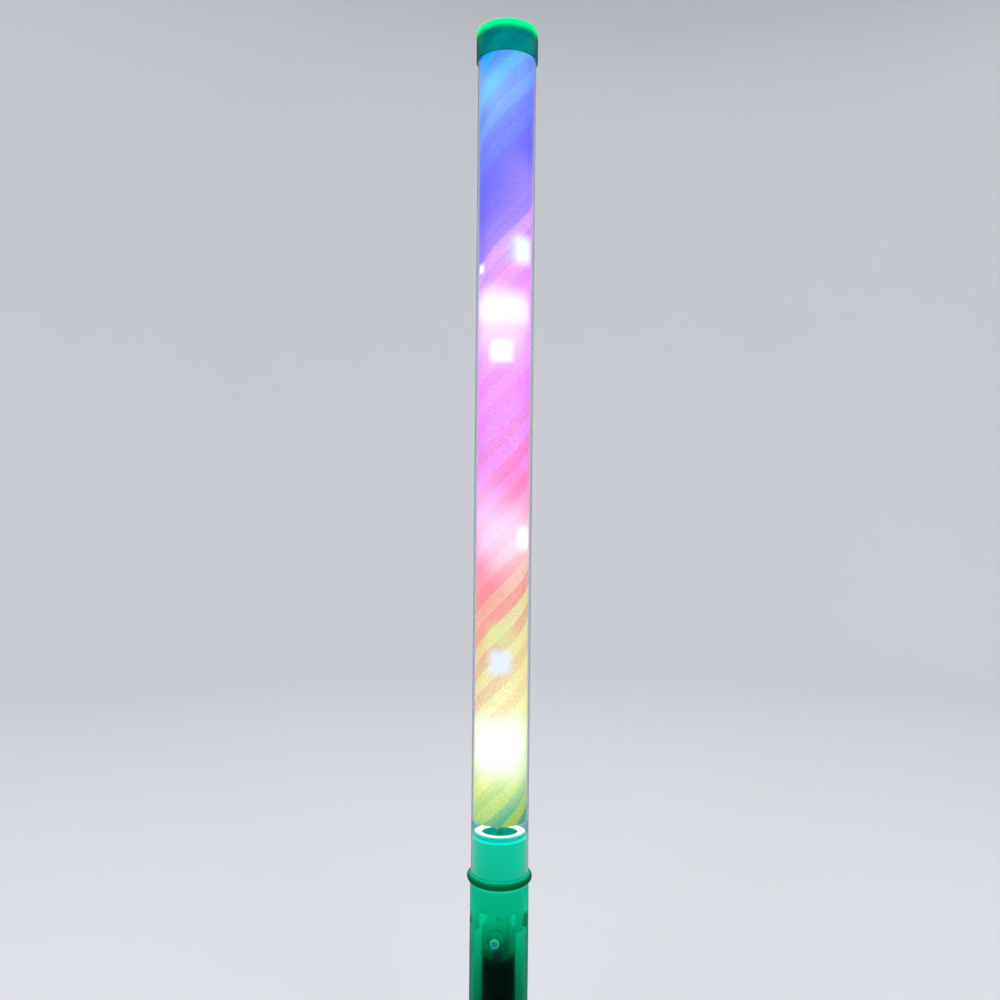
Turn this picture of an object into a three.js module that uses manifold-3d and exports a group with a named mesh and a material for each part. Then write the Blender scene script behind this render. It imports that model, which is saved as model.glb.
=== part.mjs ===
// A light-up party wand. A clear tube holds a rolled rainbow film and a twisted strip of lamps,
// a soft cap closes its far end, and a green handle carries it, with a push button, a switch
// board and three button cells that a plug at the base lets out.
// Millimetres. +Z runs along the wand from its flat base to the cap, and -Y faces the button.
import * as THREE from "three";
import { mergeVertices } from "three/addons/utils/BufferGeometryUtils.js";
import Module from "manifold-3d";

const wasm = await Module();
wasm.setup();

// Facets and fits
const ROUND_SIDES = 48;
const SMALL_SIDES = 24;
const CORNER_STEPS = 4;
const WIRE_SIDES = 8;
const MERGE_DISTANCE = 1e-4; // corners closer than this are one
const SEAT_GAP = 0.3; // between faces that rest on each other
const PUSH_FIT = 0.15; // radial gap of a push fit
const LOOSE_FIT = 0.3; // radial gap round a piece that slides or clips in
const CONTACT_GAP = 0.15; // between a contact and what it presses on

// Clear tube, film and end cap
const TUBE_OD = 22;
const TUBE_WALL = 0.8;
const TUBE_LENGTH = 318.6;
const FILM_THICKNESS = 0.3;
const FILM_GAP = 0.2; // between the film and the tube round it
const FILM_FOOT_MARGIN = 3.9; // bare tube between the neck and the film
const FILM_TOP_MARGIN = 0.5;
const FILM_SLIT = 0.5; // between the film's two long edges, at the back
const CAP_WALL = 0.5;
const CAP_PLATE = 1.2;
const CAP_GRIP = 10.5; // length of tube that the cap covers
const CAP_ROUND = 1.3;
const CAP_CHAMFER = 0.35;

// Handle: neck collar and grip
const GRIP_OD = 22.6;
const GRIP_WALL = 1.3;
const GRIP_LENGTH = 74;
const BEAD_HEIGHT = 3;
const BEAD_STAND = 1.2; // how far the bead stands out of the wider of grip and tube
const NECK_LENGTH = 16.7; // above the bead
const NECK_WALL = 1.3;
const LIP_HEIGHT = 2.7;
const LIP_STEP = 0.45; // the neck's lip is this much smaller in radius
const RIM_WIDTH = 2.3;
const RIM_THICKNESS = 1.2;
const SKIRT_LENGTH = 10;
const SKIRT_WALL = 1.2;
const WINDOW_DIAMETER = 5.6;
const WINDOW_DROP = 13.5; // from the bead down to the snap windows
const WINDOW_ANGLE = THREE.MathUtils.degToRad(75); // either side of the button
const TONGUE_WIDTH = 8.6;
const TONGUE_MARGIN = 1; // tongue below the snap pip's window
const PIP_RECESS = 0.5; // how far the pip stays below the grip's surface
const BAR_WIDTH = 3.2;
const BAR_HEIGHT = 4;

// Base plug
const BASE_PLATE = 2;
const BASE_ROUND = 1.2;
const PLUG_HEIGHT = 8;
const PLUG_WALL = 1.2;
const BOSS_DIAMETER = 10;
const NOTCH_WIDTH = 7; // nail notch that helps to pull the plug
const NOTCH_HEIGHT = 0.9;
const NOTCH_DEPTH = 1;

// Cells, their holder and contacts
const CELL_COUNT = 3;
const CELL_DIAMETER = 11.6;
const CELL_HEIGHT = 5.4;
const CELL_CAP_DIAMETER = 9.4; // the raised minus side
const CELL_CAP_HEIGHT = 0.4;
const CELL_ROUND = 0.4;
const CELL_GAP = 0.1;
const HOLDER_WALL = 0.55;
const HOLDER_PLATE = 0.8;
const FLANGE_THICKNESS = 1.2;
const FIN_THICKNESS = 1.2;
const FIN_END_MARGIN = 20; // from the fins up to the end of the holder
const POST_WIDTH = 2.2;
const POST_DEPTH = 3.6;
const POST_HEIGHT = 9;
const GROOVE_DEPTH = 0.9;
const METAL = 0.3; // thickness of the contact strips
const STRIP_METAL_WIDTH = 2.4;
const RISER_GAP = 0.4; // between the minus strip and the holder's wall
const PLUS_OFFSET = 3; // the plus contact's sideways place
const PLUS_REACH = 4; // of the plus contact over the cell, in front of the board
const TAB_HEIGHT = 4; // of the plus tab above the holder
const MINUS_TAB_HEIGHT = 2; // of the minus strip's bend above the holder
const SPRING_LENGTH = 11.75;
const SPRING_RADIUS = 3.8;
const SPRING_WIRE = 0.8;
const SPRING_TURNS = 5;
const SPRING_STEPS_PER_TURN = 12;
const SPRING_SIDES = 6;

// Switch board
const BOARD_DROP = 13.4; // from the bead down to the board's upper edge
const BOARD_WIDTH = 10.6;
const BOARD_HEIGHT = 14.6;
const BOARD_THICKNESS = 1;
const BOARD_CORNER = 0.8;
const PAD_HOLE = 1;
const PAD_SPACING = 4;
const PAD_MARGIN = 1.4; // from the board's upper edge
const SWITCH_RISE = 8.3; // from the board's lower edge to the switch's middle
const SWITCH_SIDE = 6;
const SWITCH_DEPTH = 3.5;
const SWITCH_WELL = 1.8; // depth of the hole that the plunger runs in
const SWITCH_LEG_WIDTH = 0.9;
const SWITCH_LEG_REACH = 0.7;
const PLUNGER_DIAMETER = 3.4;
const PLUNGER_STAND = 3.4; // out of the switch
const PLUNGER_SUNK = 1; // in the switch
const BUTTON_DIAMETER = 3.4;
const BUTTON_PROUD = 1;
const BUTTON_DISH = 0.45;
const BUTTON_RIM = 0.7;
const BUTTON_FLANGE = 6.4;
const BUTTON_FLANGE_THICKNESS = 1;
const CHIP_DIAMETER = 5.2;
const CHIP_HEIGHT = 1.1;
const CHIP_RISE = 9.5; // from the board's lower edge to the chip's middle
const RESISTOR = { width: 2, height: 1.25, depth: 0.6 };
const RESISTOR_DROP = 2.2; // from the board's upper edge

// Lamp strip
const STRIP_WIDTH = 6;
const STRIP_THICKNESS = 0.4;
const STRIP_TAIL = 4.6; // below the bead's top, for the lead wires
const STRIP_TOP_MARGIN = 23.5; // free tube above the strip
const STRIP_STEPS = 64;
const TWIST_SWING = THREE.MathUtils.degToRad(90);
const TWIST_PITCH = 130;
const LAMP_PITCH = 38.8;
const LAMP_START = 26.7; // above the neck's top
const LAMP_END_MARGIN = 10; // strip above the last lamp
const LAMP_SIDE = 5;
const LAMP_HEIGHT = 1.6;
const LAMP_CUT = 0.8; // the corner cut that marks a lamp's first pin
const LAMP_WINDOW = 3.8;
const LAMP_WINDOW_DEPTH = 0.3;
const LAMP_SEAT = 0.35; // between a lamp and the strip, which twists under it
const WIRE_DIAMETER = 1;
const WIRE_SPREAD = 3.2; // between the two wires at the strip
const WIRE_STEPS = 12;

// Radii that follow from the sizes above
const tubeOut = TUBE_OD / 2;
const tubeIn = tubeOut - TUBE_WALL;
const gripOut = GRIP_OD / 2;
const gripIn = gripOut - GRIP_WALL;
const neckOut = tubeIn - PUSH_FIT;
const neckIn = neckOut - NECK_WALL;
const lipOut = neckOut - LIP_STEP;
const rimHole = lipOut - RIM_WIDTH;
const skirtOut = gripIn - PUSH_FIT;
const skirtIn = skirtOut - SKIRT_WALL;
const beadOut = Math.max(gripOut, tubeOut) + BEAD_STAND;
const plugOut = gripIn - PUSH_FIT;
const plugIn = plugOut - PLUG_WALL;
const holderIn = CELL_DIAMETER / 2 + PUSH_FIT;
const holderOut = holderIn + HOLDER_WALL;

// Heights above the base that follow from the sizes above
const gripBottom = BASE_PLATE + SEAT_GAP;
const gripTop = gripBottom + GRIP_LENGTH;
const beadBottom = gripTop + SEAT_GAP;
const beadTop = beadBottom + BEAD_HEIGHT;
const neckTop = beadTop + NECK_LENGTH;
const tubeBottom = beadTop + SEAT_GAP;
const tubeTop = tubeBottom + TUBE_LENGTH;
const windowHeight = beadBottom - WINDOW_DROP;
const filmBottom = neckTop + FILM_FOOT_MARGIN;
const filmLength = tubeTop - FILM_TOP_MARGIN - filmBottom;
const boardTop = beadBottom - BOARD_DROP;
const boardBottom = boardTop - BOARD_HEIGHT;
const buttonHeight = boardBottom + SWITCH_RISE;
const plugTop = BASE_PLATE + PLUG_HEIGHT;
const holderBottom = plugTop + SEAT_GAP;
const holderTop = boardBottom - SEAT_GAP;
const holderLength = holderTop - holderBottom;
const plusHeight = holderTop - HOLDER_PLATE - CONTACT_GAP - METAL;
const cellsTop = plusHeight - CONTACT_GAP;
const cellsBottom = cellsTop - CELL_COUNT * CELL_HEIGHT - (CELL_COUNT - 1) * CELL_GAP;
const springTop = cellsBottom - CONTACT_GAP;
const springBottom = springTop - SPRING_LENGTH;
const bossTop = springBottom - CONTACT_GAP - METAL - CONTACT_GAP;
const stripBottom = beadTop - STRIP_TAIL;
const stripTop = tubeTop - STRIP_TOP_MARGIN;

// Depths in front of the wand's axis, towards the button
const boardFront = BOARD_THICKNESS / 2;
const switchFront = boardFront + SEAT_GAP / 2 + SWITCH_DEPTH;
const plungerTip = switchFront + PLUNGER_STAND;
const buttonInner = plungerTip + SEAT_GAP;
const buttonOuter = gripOut + BUTTON_PROUD;

// Finishes
const finish = (color, roughness, extra = {}) =>
  new THREE.MeshStandardMaterial({ color, roughness, metalness: 0, ...extra });
const clear = finish(0xeef4fa, 0.08, { transparent: true, opacity: 0.3 });
const printed = finish(0xd79be8, 0.35);
const greenPlastic = finish(0x0fae80, 0.3, { transparent: true, opacity: 0.8 });
const buttonPlastic = finish(0x2c8f7c, 0.35);
const blackPlastic = finish(0x121413, 0.5);
const boardLaminate = finish(0x1d6b45, 0.45);
const stripWhite = finish(0xe9ebe6, 0.5);
const lampWhite = finish(0xf6f4e6, 0.3);
const steel = finish(0xb9bcbf, 0.3, { metalness: 1 });
const redSleeve = finish(0xb8211c, 0.45);
const blackSleeve = finish(0x18191a, 0.45);

// A solid for cutting and joining, from a closed geometry.
function solidOf(geometry) {
  const bare = geometry.clone();
  bare.deleteAttribute("normal");
  bare.deleteAttribute("uv");
  const merged = mergeVertices(bare, MERGE_DISTANCE);
  const corners = merged.index.array;
  const triVerts = [];
  for (let i = 0; i < corners.length; i += 3) {
    const [a, b, c] = corners.slice(i, i + 3);
    if (a !== b && b !== c && c !== a) triVerts.push(a, b, c);
  }
  return new wasm.Manifold(
    new wasm.Mesh({
      numProp: 3,
      vertProperties: merged.attributes.position.array,
      triVerts: Uint32Array.from(triVerts),
    }),
  );
}

// A geometry from a cut or joined solid.
function geometryOf(solid) {
  const mesh = solid.getMesh();
  const geometry = new THREE.BufferGeometry();
  geometry.setAttribute("position", new THREE.BufferAttribute(mesh.vertProperties, 3));
  geometry.setIndex(new THREE.BufferAttribute(mesh.triVerts, 1));
  geometry.computeVertexNormals();
  return geometry;
}

// One geometry from a body, what is joined to it and what is then cut from it.
function worked(body, joined, cut) {
  let solid = solidOf(body);
  for (const piece of joined) solid = solid.add(solidOf(piece));
  for (const piece of cut) solid = solid.subtract(solidOf(piece));
  return geometryOf(solid);
}

// A turned piece about Z from [radius, height] points, anticlockwise, from axis to axis or closed.
function turned(profile, sides = ROUND_SIDES) {
  const points = profile.map(([r, z]) => new THREE.Vector2(r, z));
  const onAxis = profile[0][0] === 0 && profile.at(-1)[0] === 0;
  if (!onAxis) points.push(points[0].clone());
  return new THREE.LatheGeometry(points, sides).rotateX(Math.PI / 2);
}

// Points of an arc in a profile, both ends included.
function arc(r, z, radius, from, to, steps = CORNER_STEPS) {
  return Array.from({ length: steps + 1 }, (_, i) => {
    const angle = from + ((to - from) * i) / steps;
    return [r + radius * Math.cos(angle), z + radius * Math.sin(angle)];
  });
}

// A block between two corners.
function block([x0, y0, z0], [x1, y1, z1]) {
  return new THREE.BoxGeometry(x1 - x0, y1 - y0, z1 - z0).translate(
    (x0 + x1) / 2,
    (y0 + y1) / 2,
    (z0 + z1) / 2,
  );
}

// A round bar that points away from the axis, between two radii, turned from the front by an angle.
function radialBar(diameter, inner, outer, height, angle = 0) {
  return new THREE.CylinderGeometry(diameter / 2, diameter / 2, outer - inner, SMALL_SIDES)
    .translate(0, -(inner + outer) / 2, height)
    .rotateZ(angle);
}

// A part of a ring's wall, centred on an angle from the front and standing on z = 0.
function wallSector(inner, outer, width, height, angle) {
  const half = width / 2 / outer;
  const middle = angle - Math.PI / 2;
  const shape = new THREE.Shape();
  shape.absarc(0, 0, outer, middle - half, middle + half, false);
  shape.absarc(0, 0, inner, middle + half, middle - half, true);
  return new THREE.ExtrudeGeometry(shape, {
    depth: height,
    bevelEnabled: false,
    curveSegments: CORNER_STEPS,
  });
}

// A metal strip with square bends, standing to one side. The line gives depth (towards the back)
// and height along one face, and the metal lies to the left of the way the line runs.
function bentStrip(line, width, x) {
  const face = line.map(([y, z]) => new THREE.Vector2(y, z));
  const straight = new THREE.Vector2();
  const lefts = face.slice(1).map((point, i) => {
    const way = point.clone().sub(face[i]).normalize();
    return new THREE.Vector2(-way.y, way.x);
  });
  const otherFace = face.map((point, i) =>
    point
      .clone()
      .addScaledVector(lefts[i - 1] ?? straight, METAL)
      .addScaledVector(lefts[i] ?? straight, METAL),
  );
  const strip = new THREE.ExtrudeGeometry(new THREE.Shape([...face, ...otherFace.reverse()]), {
    depth: width,
    bevelEnabled: false,
  });
  return strip.rotateX(Math.PI / 2).rotateZ(Math.PI / 2).translate(x - width / 2, 0, 0);
}

// A round wire along a curve, closed at both ends.
function wireAlong(curve, diameter, sides, steps) {
  const section = new THREE.Shape(
    Array.from({ length: sides }, (_, i) => {
      const angle = (2 * Math.PI * i) / sides;
      return new THREE.Vector2(Math.cos(angle), Math.sin(angle)).multiplyScalar(diameter / 2);
    }),
  );
  return new THREE.ExtrudeGeometry(section, { steps, extrudePath: curve, bevelEnabled: false });
}

// Where the strip faces at a height: it swings between sideways and forwards.
function stripAngle(height) {
  const turn = (2 * Math.PI * (height - stripBottom)) / TWIST_PITCH;
  return (TWIST_SWING / 2) * (1 + Math.cos(turn));
}

const wand = new THREE.Group();

// Adds one named piece at a height above the base.
function addPiece(name, geometry, material, height = 0) {
  const mesh = new THREE.Mesh(geometry, material);
  mesh.name = name;
  mesh.position.z = height;
  wand.add(mesh);
  return mesh;
}

function clearTube() {
  const wall = [
    [tubeIn, 0],
    [tubeOut, 0],
    [tubeOut, TUBE_LENGTH],
    [tubeIn, TUBE_LENGTH],
  ];
  addPiece("clear_tube", turned(wall), clear, tubeBottom);
}

// The film is a sheet rolled up inside the tube, with its two long edges at the back.
function rainbowFilm() {
  const outer = tubeIn - FILM_GAP;
  const inner = outer - FILM_THICKNESS;
  const half = FILM_SLIT / 2 / outer;
  const from = Math.PI / 2 + half;
  const to = Math.PI / 2 + 2 * Math.PI - half;
  const shape = new THREE.Shape();
  shape.absarc(0, 0, outer, from, to, false);
  shape.absarc(0, 0, inner, to, from, true);
  const film = new THREE.ExtrudeGeometry(shape, {
    depth: filmLength,
    bevelEnabled: false,
    curveSegments: ROUND_SIDES / 2,
  });
  addPiece("rainbow_film", film, printed, filmBottom);
}

function endCap() {
  const inner = tubeOut + PUSH_FIT;
  const outer = inner + CAP_WALL;
  const under = CAP_GRIP + SEAT_GAP;
  const top = under + CAP_PLATE;
  const round = Math.min(CAP_ROUND, top);
  const cup = [
    [0, under],
    [inner, under],
    [inner, 0],
    [outer - CAP_CHAMFER, 0],
    [outer, CAP_CHAMFER],
    ...arc(outer - round, top - round, round, 0, Math.PI / 2),
    [0, top],
  ];
  addPiece("end_cap", turned(cup), greenPlastic, tubeTop - CAP_GRIP);
}

// The collar's neck plugs into the tube up to its bead, and its skirt clips into the grip.
function neckCollar() {
  const bead = BEAD_HEIGHT / 2;
  const neck = BEAD_HEIGHT + NECK_LENGTH;
  const body = [
    [skirtIn, -SKIRT_LENGTH],
    [skirtOut, -SKIRT_LENGTH],
    [skirtOut, 0],
    ...arc(beadOut - bead, bead, bead, -Math.PI / 2, Math.PI / 2, 2 * CORNER_STEPS),
    [neckOut, BEAD_HEIGHT],
    [neckOut, neck - LIP_HEIGHT],
    [lipOut, neck - LIP_HEIGHT],
    [lipOut, neck],
    [rimHole, neck],
    [rimHole, neck - RIM_THICKNESS],
    [neckIn, neck - RIM_THICKNESS],
    [neckIn, BEAD_HEIGHT],
    [skirtIn, 0],
  ];
  const tongueEnd = WINDOW_DROP + WINDOW_DIAMETER / 2 + TONGUE_MARGIN;
  const pip = WINDOW_DIAMETER - 2 * LOOSE_FIT;
  const joined = [
    block(
      [-BAR_WIDTH / 2, -neckIn - NECK_WALL / 2, BEAD_HEIGHT],
      [BAR_WIDTH / 2, neckIn + NECK_WALL / 2, BEAD_HEIGHT + BAR_HEIGHT],
    ),
  ];
  for (const angle of [-WINDOW_ANGLE, WINDOW_ANGLE]) {
    const tongue = wallSector(skirtIn, skirtOut, TONGUE_WIDTH, tongueEnd - BEAD_HEIGHT / 2, angle);
    joined.push(tongue.translate(0, 0, -tongueEnd));
    joined.push(
      radialBar(pip, (skirtIn + skirtOut) / 2, gripOut - PIP_RECESS, -WINDOW_DROP, angle),
    );
  }
  const slot = block(
    [-STRIP_THICKNESS / 2 - LOOSE_FIT, -STRIP_WIDTH / 2 - LOOSE_FIT, 0],
    [STRIP_THICKNESS / 2 + LOOSE_FIT, STRIP_WIDTH / 2 + LOOSE_FIT, neck],
  );
  addPiece("neck_collar", worked(turned(body), joined, [slot]), greenPlastic, beadBottom);
}

function gripTube() {
  const wall = [
    [gripIn, 0],
    [gripOut, 0],
    [gripOut, GRIP_LENGTH],
    [gripIn, GRIP_LENGTH],
  ];
  const cut = [-WINDOW_ANGLE, WINDOW_ANGLE].map((angle) =>
    radialBar(WINDOW_DIAMETER, gripIn / 2, 2 * gripOut, windowHeight - gripBottom, angle),
  );
  const hole = BUTTON_DIAMETER + 2 * LOOSE_FIT;
  cut.push(radialBar(hole, gripIn / 2, 2 * gripOut, buttonHeight - gripBottom));
  addPiece("grip_tube", worked(turned(wall), [], cut), greenPlastic, gripBottom);
}

// The plug closes the grip, carries the cell spring on its boss and is the wand's foot.
function basePlug() {
  const body = [
    [0, 0],
    ...arc(gripOut - BASE_ROUND, BASE_ROUND, BASE_ROUND, -Math.PI / 2, 0),
    [gripOut, BASE_PLATE],
    [plugOut, BASE_PLATE],
    [plugOut, plugTop],
    [plugIn, plugTop],
    [plugIn, BASE_PLATE],
    [BOSS_DIAMETER / 2, BASE_PLATE],
    [BOSS_DIAMETER / 2, bossTop],
    [0, bossTop],
  ];
  const notch = block(
    [-NOTCH_WIDTH / 2, gripOut - NOTCH_DEPTH, BASE_PLATE - NOTCH_HEIGHT],
    [NOTCH_WIDTH / 2, 2 * gripOut, plugTop],
  );
  addPiece("base_plug", worked(turned(body), [], [notch]), greenPlastic);
}

// Feeds the spring from the minus strip: over the boss, down its side and up the plug's wall.
function baseContact() {
  const overBoss = bossTop + CONTACT_GAP;
  const besideBoss = BOSS_DIAMETER / 2 + CONTACT_GAP;
  const riser = holderOut + RISER_GAP;
  const floor = BASE_PLATE + CONTACT_GAP;
  const line = [
    [riser + METAL, plugTop],
    [riser + METAL, floor],
    [besideBoss, floor],
    [besideBoss, overBoss],
    [-SPRING_RADIUS, overBoss],
  ];
  const strip = bentStrip(line.reverse(), STRIP_METAL_WIDTH, 0);
  addPiece("base_contact", strip, steel);
}

class SpringLine extends THREE.Curve {
  getPoint(t, target = new THREE.Vector3()) {
    const angle = 2 * Math.PI * SPRING_TURNS * t;
    const low = springBottom + SPRING_WIRE / 2;
    const high = springTop - SPRING_WIRE / 2;
    return target.set(
      SPRING_RADIUS * Math.cos(angle),
      SPRING_RADIUS * Math.sin(angle),
      low + (high - low) * t,
    );
  }
}

function minusSpring() {
  const steps = SPRING_TURNS * SPRING_STEPS_PER_TURN;
  const line = new SpringLine();
  const points = line.getPoints(steps);
  const gaps = points.flatMap((a, i) =>
    points.slice(i + SPRING_STEPS_PER_TURN / 2).map((b) => a.distanceTo(b) - SPRING_WIRE),
  );
  console.log(`minus_spring: least gap between turns ${Math.min(...gaps).toFixed(2)} mm`);
  addPiece("minus_spring", wireAlong(line, SPRING_WIRE, SPRING_SIDES, steps), steel);
}

// Each cell has its plus can upwards and its smaller minus cap below.
function buttonCells() {
  const can = CELL_DIAMETER / 2;
  const cap = CELL_CAP_DIAMETER / 2;
  const cell = [
    [0, 0],
    [cap, 0],
    [cap, CELL_CAP_HEIGHT],
    ...arc(can - CELL_ROUND, CELL_CAP_HEIGHT + CELL_ROUND, CELL_ROUND, -Math.PI / 2, 0, 1),
    ...arc(can - CELL_ROUND, CELL_HEIGHT - CELL_ROUND, CELL_ROUND, 0, Math.PI / 2, 1),
    [0, CELL_HEIGHT],
  ];
  for (let i = 0; i < CELL_COUNT; i += 1) {
    const height = cellsTop - CELL_HEIGHT - i * (CELL_HEIGHT + CELL_GAP);
    addPiece(`button_cell_${i + 1}`, turned(cell, SMALL_SIDES), steel, height);
  }
}

// A sleeve for the cells, with a flange on the plug, fins in the grip and posts for the board.
function batteryHolder() {
  const inside = gripIn - LOOSE_FIT;
  const sleeve = [
    [holderIn, 0],
    [inside, 0],
    [inside, FLANGE_THICKNESS],
    [holderOut, FLANGE_THICKNESS],
    [holderOut, holderLength],
    [0, holderLength],
    [0, holderLength - HOLDER_PLATE],
    [holderIn, holderLength - HOLDER_PLATE],
  ];
  const body = turned([...sleeve.slice(6), ...sleeve.slice(0, 6)]);
  const wallMiddle = (holderIn + holderOut) / 2;
  const finEnd = Math.sqrt(inside ** 2 - (FIN_THICKNESS / 2) ** 2);
  const joined = [];
  const grooves = [];
  const groove = BOARD_THICKNESS / 2 + CONTACT_GAP;
  const postIn = BOARD_WIDTH / 2 - GROOVE_DEPTH;
  for (const side of [-1, 1]) {
    const across = (from, to) => [from, to].map((x) => x * side).sort((a, b) => a - b);
    const [fin0, fin1] = across(wallMiddle, finEnd);
    joined.push(
      block(
        [fin0, -FIN_THICKNESS / 2, FLANGE_THICKNESS / 2],
        [fin1, FIN_THICKNESS / 2, holderLength - FIN_END_MARGIN],
      ),
    );
    const [post0, post1] = across(postIn, postIn + POST_WIDTH);
    joined.push(
      block(
        [post0, -POST_DEPTH / 2, holderLength - HOLDER_PLATE],
        [post1, POST_DEPTH / 2, holderLength + POST_HEIGHT],
      ),
    );
    const [groove0, groove1] = across(postIn - GROOVE_DEPTH, BOARD_WIDTH / 2 + CONTACT_GAP);
    grooves.push(
      block(
        [groove0, -groove, holderLength],
        [groove1, groove, holderLength + 2 * POST_HEIGHT],
      ),
    );
  }
  const tab = STRIP_METAL_WIDTH / 2 + LOOSE_FIT;
  const plusSlot = block(
    [PLUS_OFFSET - tab, boardFront + SEAT_GAP - LOOSE_FIT, holderLength - 2 * HOLDER_PLATE],
    [PLUS_OFFSET + tab, boardFront + SEAT_GAP + METAL + LOOSE_FIT, holderLength + POST_HEIGHT],
  );
  const riser = holderOut + RISER_GAP;
  const minusSlot = block(
    [-tab, riser - LOOSE_FIT, -FLANGE_THICKNESS],
    [tab, 2 * gripIn, 2 * FLANGE_THICKNESS],
  );
  const geometry = worked(body, joined, [...grooves, plusSlot, minusSlot]);
  addPiece("battery_holder", geometry, blackPlastic, holderBottom);
}

// Lies on the first cell, under the holder's plate, and rises through it behind the board.
function plusContact() {
  const back = boardFront + SEAT_GAP;
  const line = [
    [-PLUS_REACH, plusHeight],
    [back + METAL, plusHeight],
    [back + METAL, holderTop + TAB_HEIGHT],
  ];
  addPiece("plus_contact", bentStrip(line, STRIP_METAL_WIDTH, PLUS_OFFSET), steel);
}

// Runs up the holder's back from the plug's contact and bends in to the board.
function minusStrip() {
  const riser = holderOut + RISER_GAP;
  const line = [
    [riser + METAL, holderBottom],
    [riser + METAL, holderTop + MINUS_TAB_HEIGHT],
    [boardFront + SEAT_GAP, holderTop + MINUS_TAB_HEIGHT],
  ];
  addPiece("minus_strip", bentStrip(line, STRIP_METAL_WIDTH, 0), steel);
}

function circuitBoard() {
  const half = BOARD_WIDTH / 2;
  const shape = new THREE.Shape([
    new THREE.Vector2(-half, 0),
    new THREE.Vector2(half, 0),
    new THREE.Vector2(half, BOARD_HEIGHT - BOARD_CORNER),
    new THREE.Vector2(half - BOARD_CORNER, BOARD_HEIGHT),
    new THREE.Vector2(BOARD_CORNER - half, BOARD_HEIGHT),
    new THREE.Vector2(-half, BOARD_HEIGHT - BOARD_CORNER),
  ]);
  for (const side of [-1, 1]) {
    const hole = new THREE.Path();
    hole.absarc((side * PAD_SPACING) / 2, BOARD_HEIGHT - PAD_MARGIN, PAD_HOLE / 2, 0, 2 * Math.PI);
    shape.holes.push(hole);
  }
  const board = new THREE.ExtrudeGeometry(shape, {
    depth: BOARD_THICKNESS,
    bevelEnabled: false,
    curveSegments: CORNER_STEPS,
  });
  board.rotateX(Math.PI / 2).translate(0, BOARD_THICKNESS / 2, 0);
  addPiece("circuit_board", board, boardLaminate, boardBottom);
}

function tactSwitch() {
  const half = SWITCH_SIDE / 2;
  const back = boardFront + SEAT_GAP / 2;
  const body = block([-half, -switchFront, -half], [half, -back, half]);
  const legs = [-1, 1].flatMap((side) =>
    [-1, 1].map((end) => {
      const across = [half - METAL, half + SWITCH_LEG_REACH].map((x) => x * side);
      const along = (end * half) / 2;
      return block(
        [Math.min(...across), -back - METAL, along - SWITCH_LEG_WIDTH / 2],
        [Math.max(...across), -back, along + SWITCH_LEG_WIDTH / 2],
      );
    }),
  );
  const well = radialBar(
    PLUNGER_DIAMETER + 2 * CONTACT_GAP,
    switchFront - SWITCH_WELL,
    2 * switchFront,
    0,
  );
  addPiece("tact_switch", worked(body, legs, [well]), blackPlastic, buttonHeight);
}

function switchPlunger() {
  const bar = radialBar(PLUNGER_DIAMETER, switchFront - PLUNGER_SUNK, plungerTip, 0);
  addPiece("switch_plunger", bar, blackPlastic, buttonHeight);
}

// A flanged pin with a dished end, held behind the grip's wall.
function pushButton() {
  const radius = BUTTON_DIAMETER / 2;
  const flange = BUTTON_FLANGE / 2;
  const flangeEnd = Math.sqrt(gripIn ** 2 - flange ** 2) - LOOSE_FIT;
  const pin = [
    [0, buttonInner],
    [radius, buttonInner],
    [radius, flangeEnd - BUTTON_FLANGE_THICKNESS],
    [flange, flangeEnd - BUTTON_FLANGE_THICKNESS],
    [flange, flangeEnd],
    [radius, flangeEnd],
    [radius, buttonOuter - BUTTON_DISH],
    [radius - BUTTON_DISH / 2, buttonOuter],
    [radius - BUTTON_RIM, buttonOuter],
    [0, buttonOuter - BUTTON_DISH],
  ];
  const button = turned(pin, SMALL_SIDES).rotateX(Math.PI / 2);
  addPiece("push_button", button, buttonPlastic, buttonHeight);
}

// The chip is a drop of resin over bare silicon: a shallow cap of a sphere on the board's back.
function controlChip() {
  const radius = CHIP_DIAMETER / 2;
  const sphere = (radius ** 2 + CHIP_HEIGHT ** 2) / (2 * CHIP_HEIGHT);
  const rim = Math.acos(radius / sphere);
  const dome = arc(0, CHIP_HEIGHT - sphere, sphere, rim, Math.PI / 2).slice(0, -1);
  const drop = [[0, 0], ...dome, [0, CHIP_HEIGHT]];
  const chip = turned(drop, SMALL_SIDES).rotateX(-Math.PI / 2);
  chip.translate(0, boardFront + SEAT_GAP / 2, 0);
  addPiece("control_chip", chip, blackPlastic, boardBottom + CHIP_RISE);
}

function limitResistor() {
  const back = boardFront + SEAT_GAP / 2;
  const chip = block(
    [-RESISTOR.width / 2, -back - RESISTOR.depth, -RESISTOR.height / 2],
    [RESISTOR.width / 2, -back, RESISTOR.height / 2],
  );
  addPiece("limit_resistor", chip, blackPlastic, boardTop - RESISTOR_DROP);
}

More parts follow.
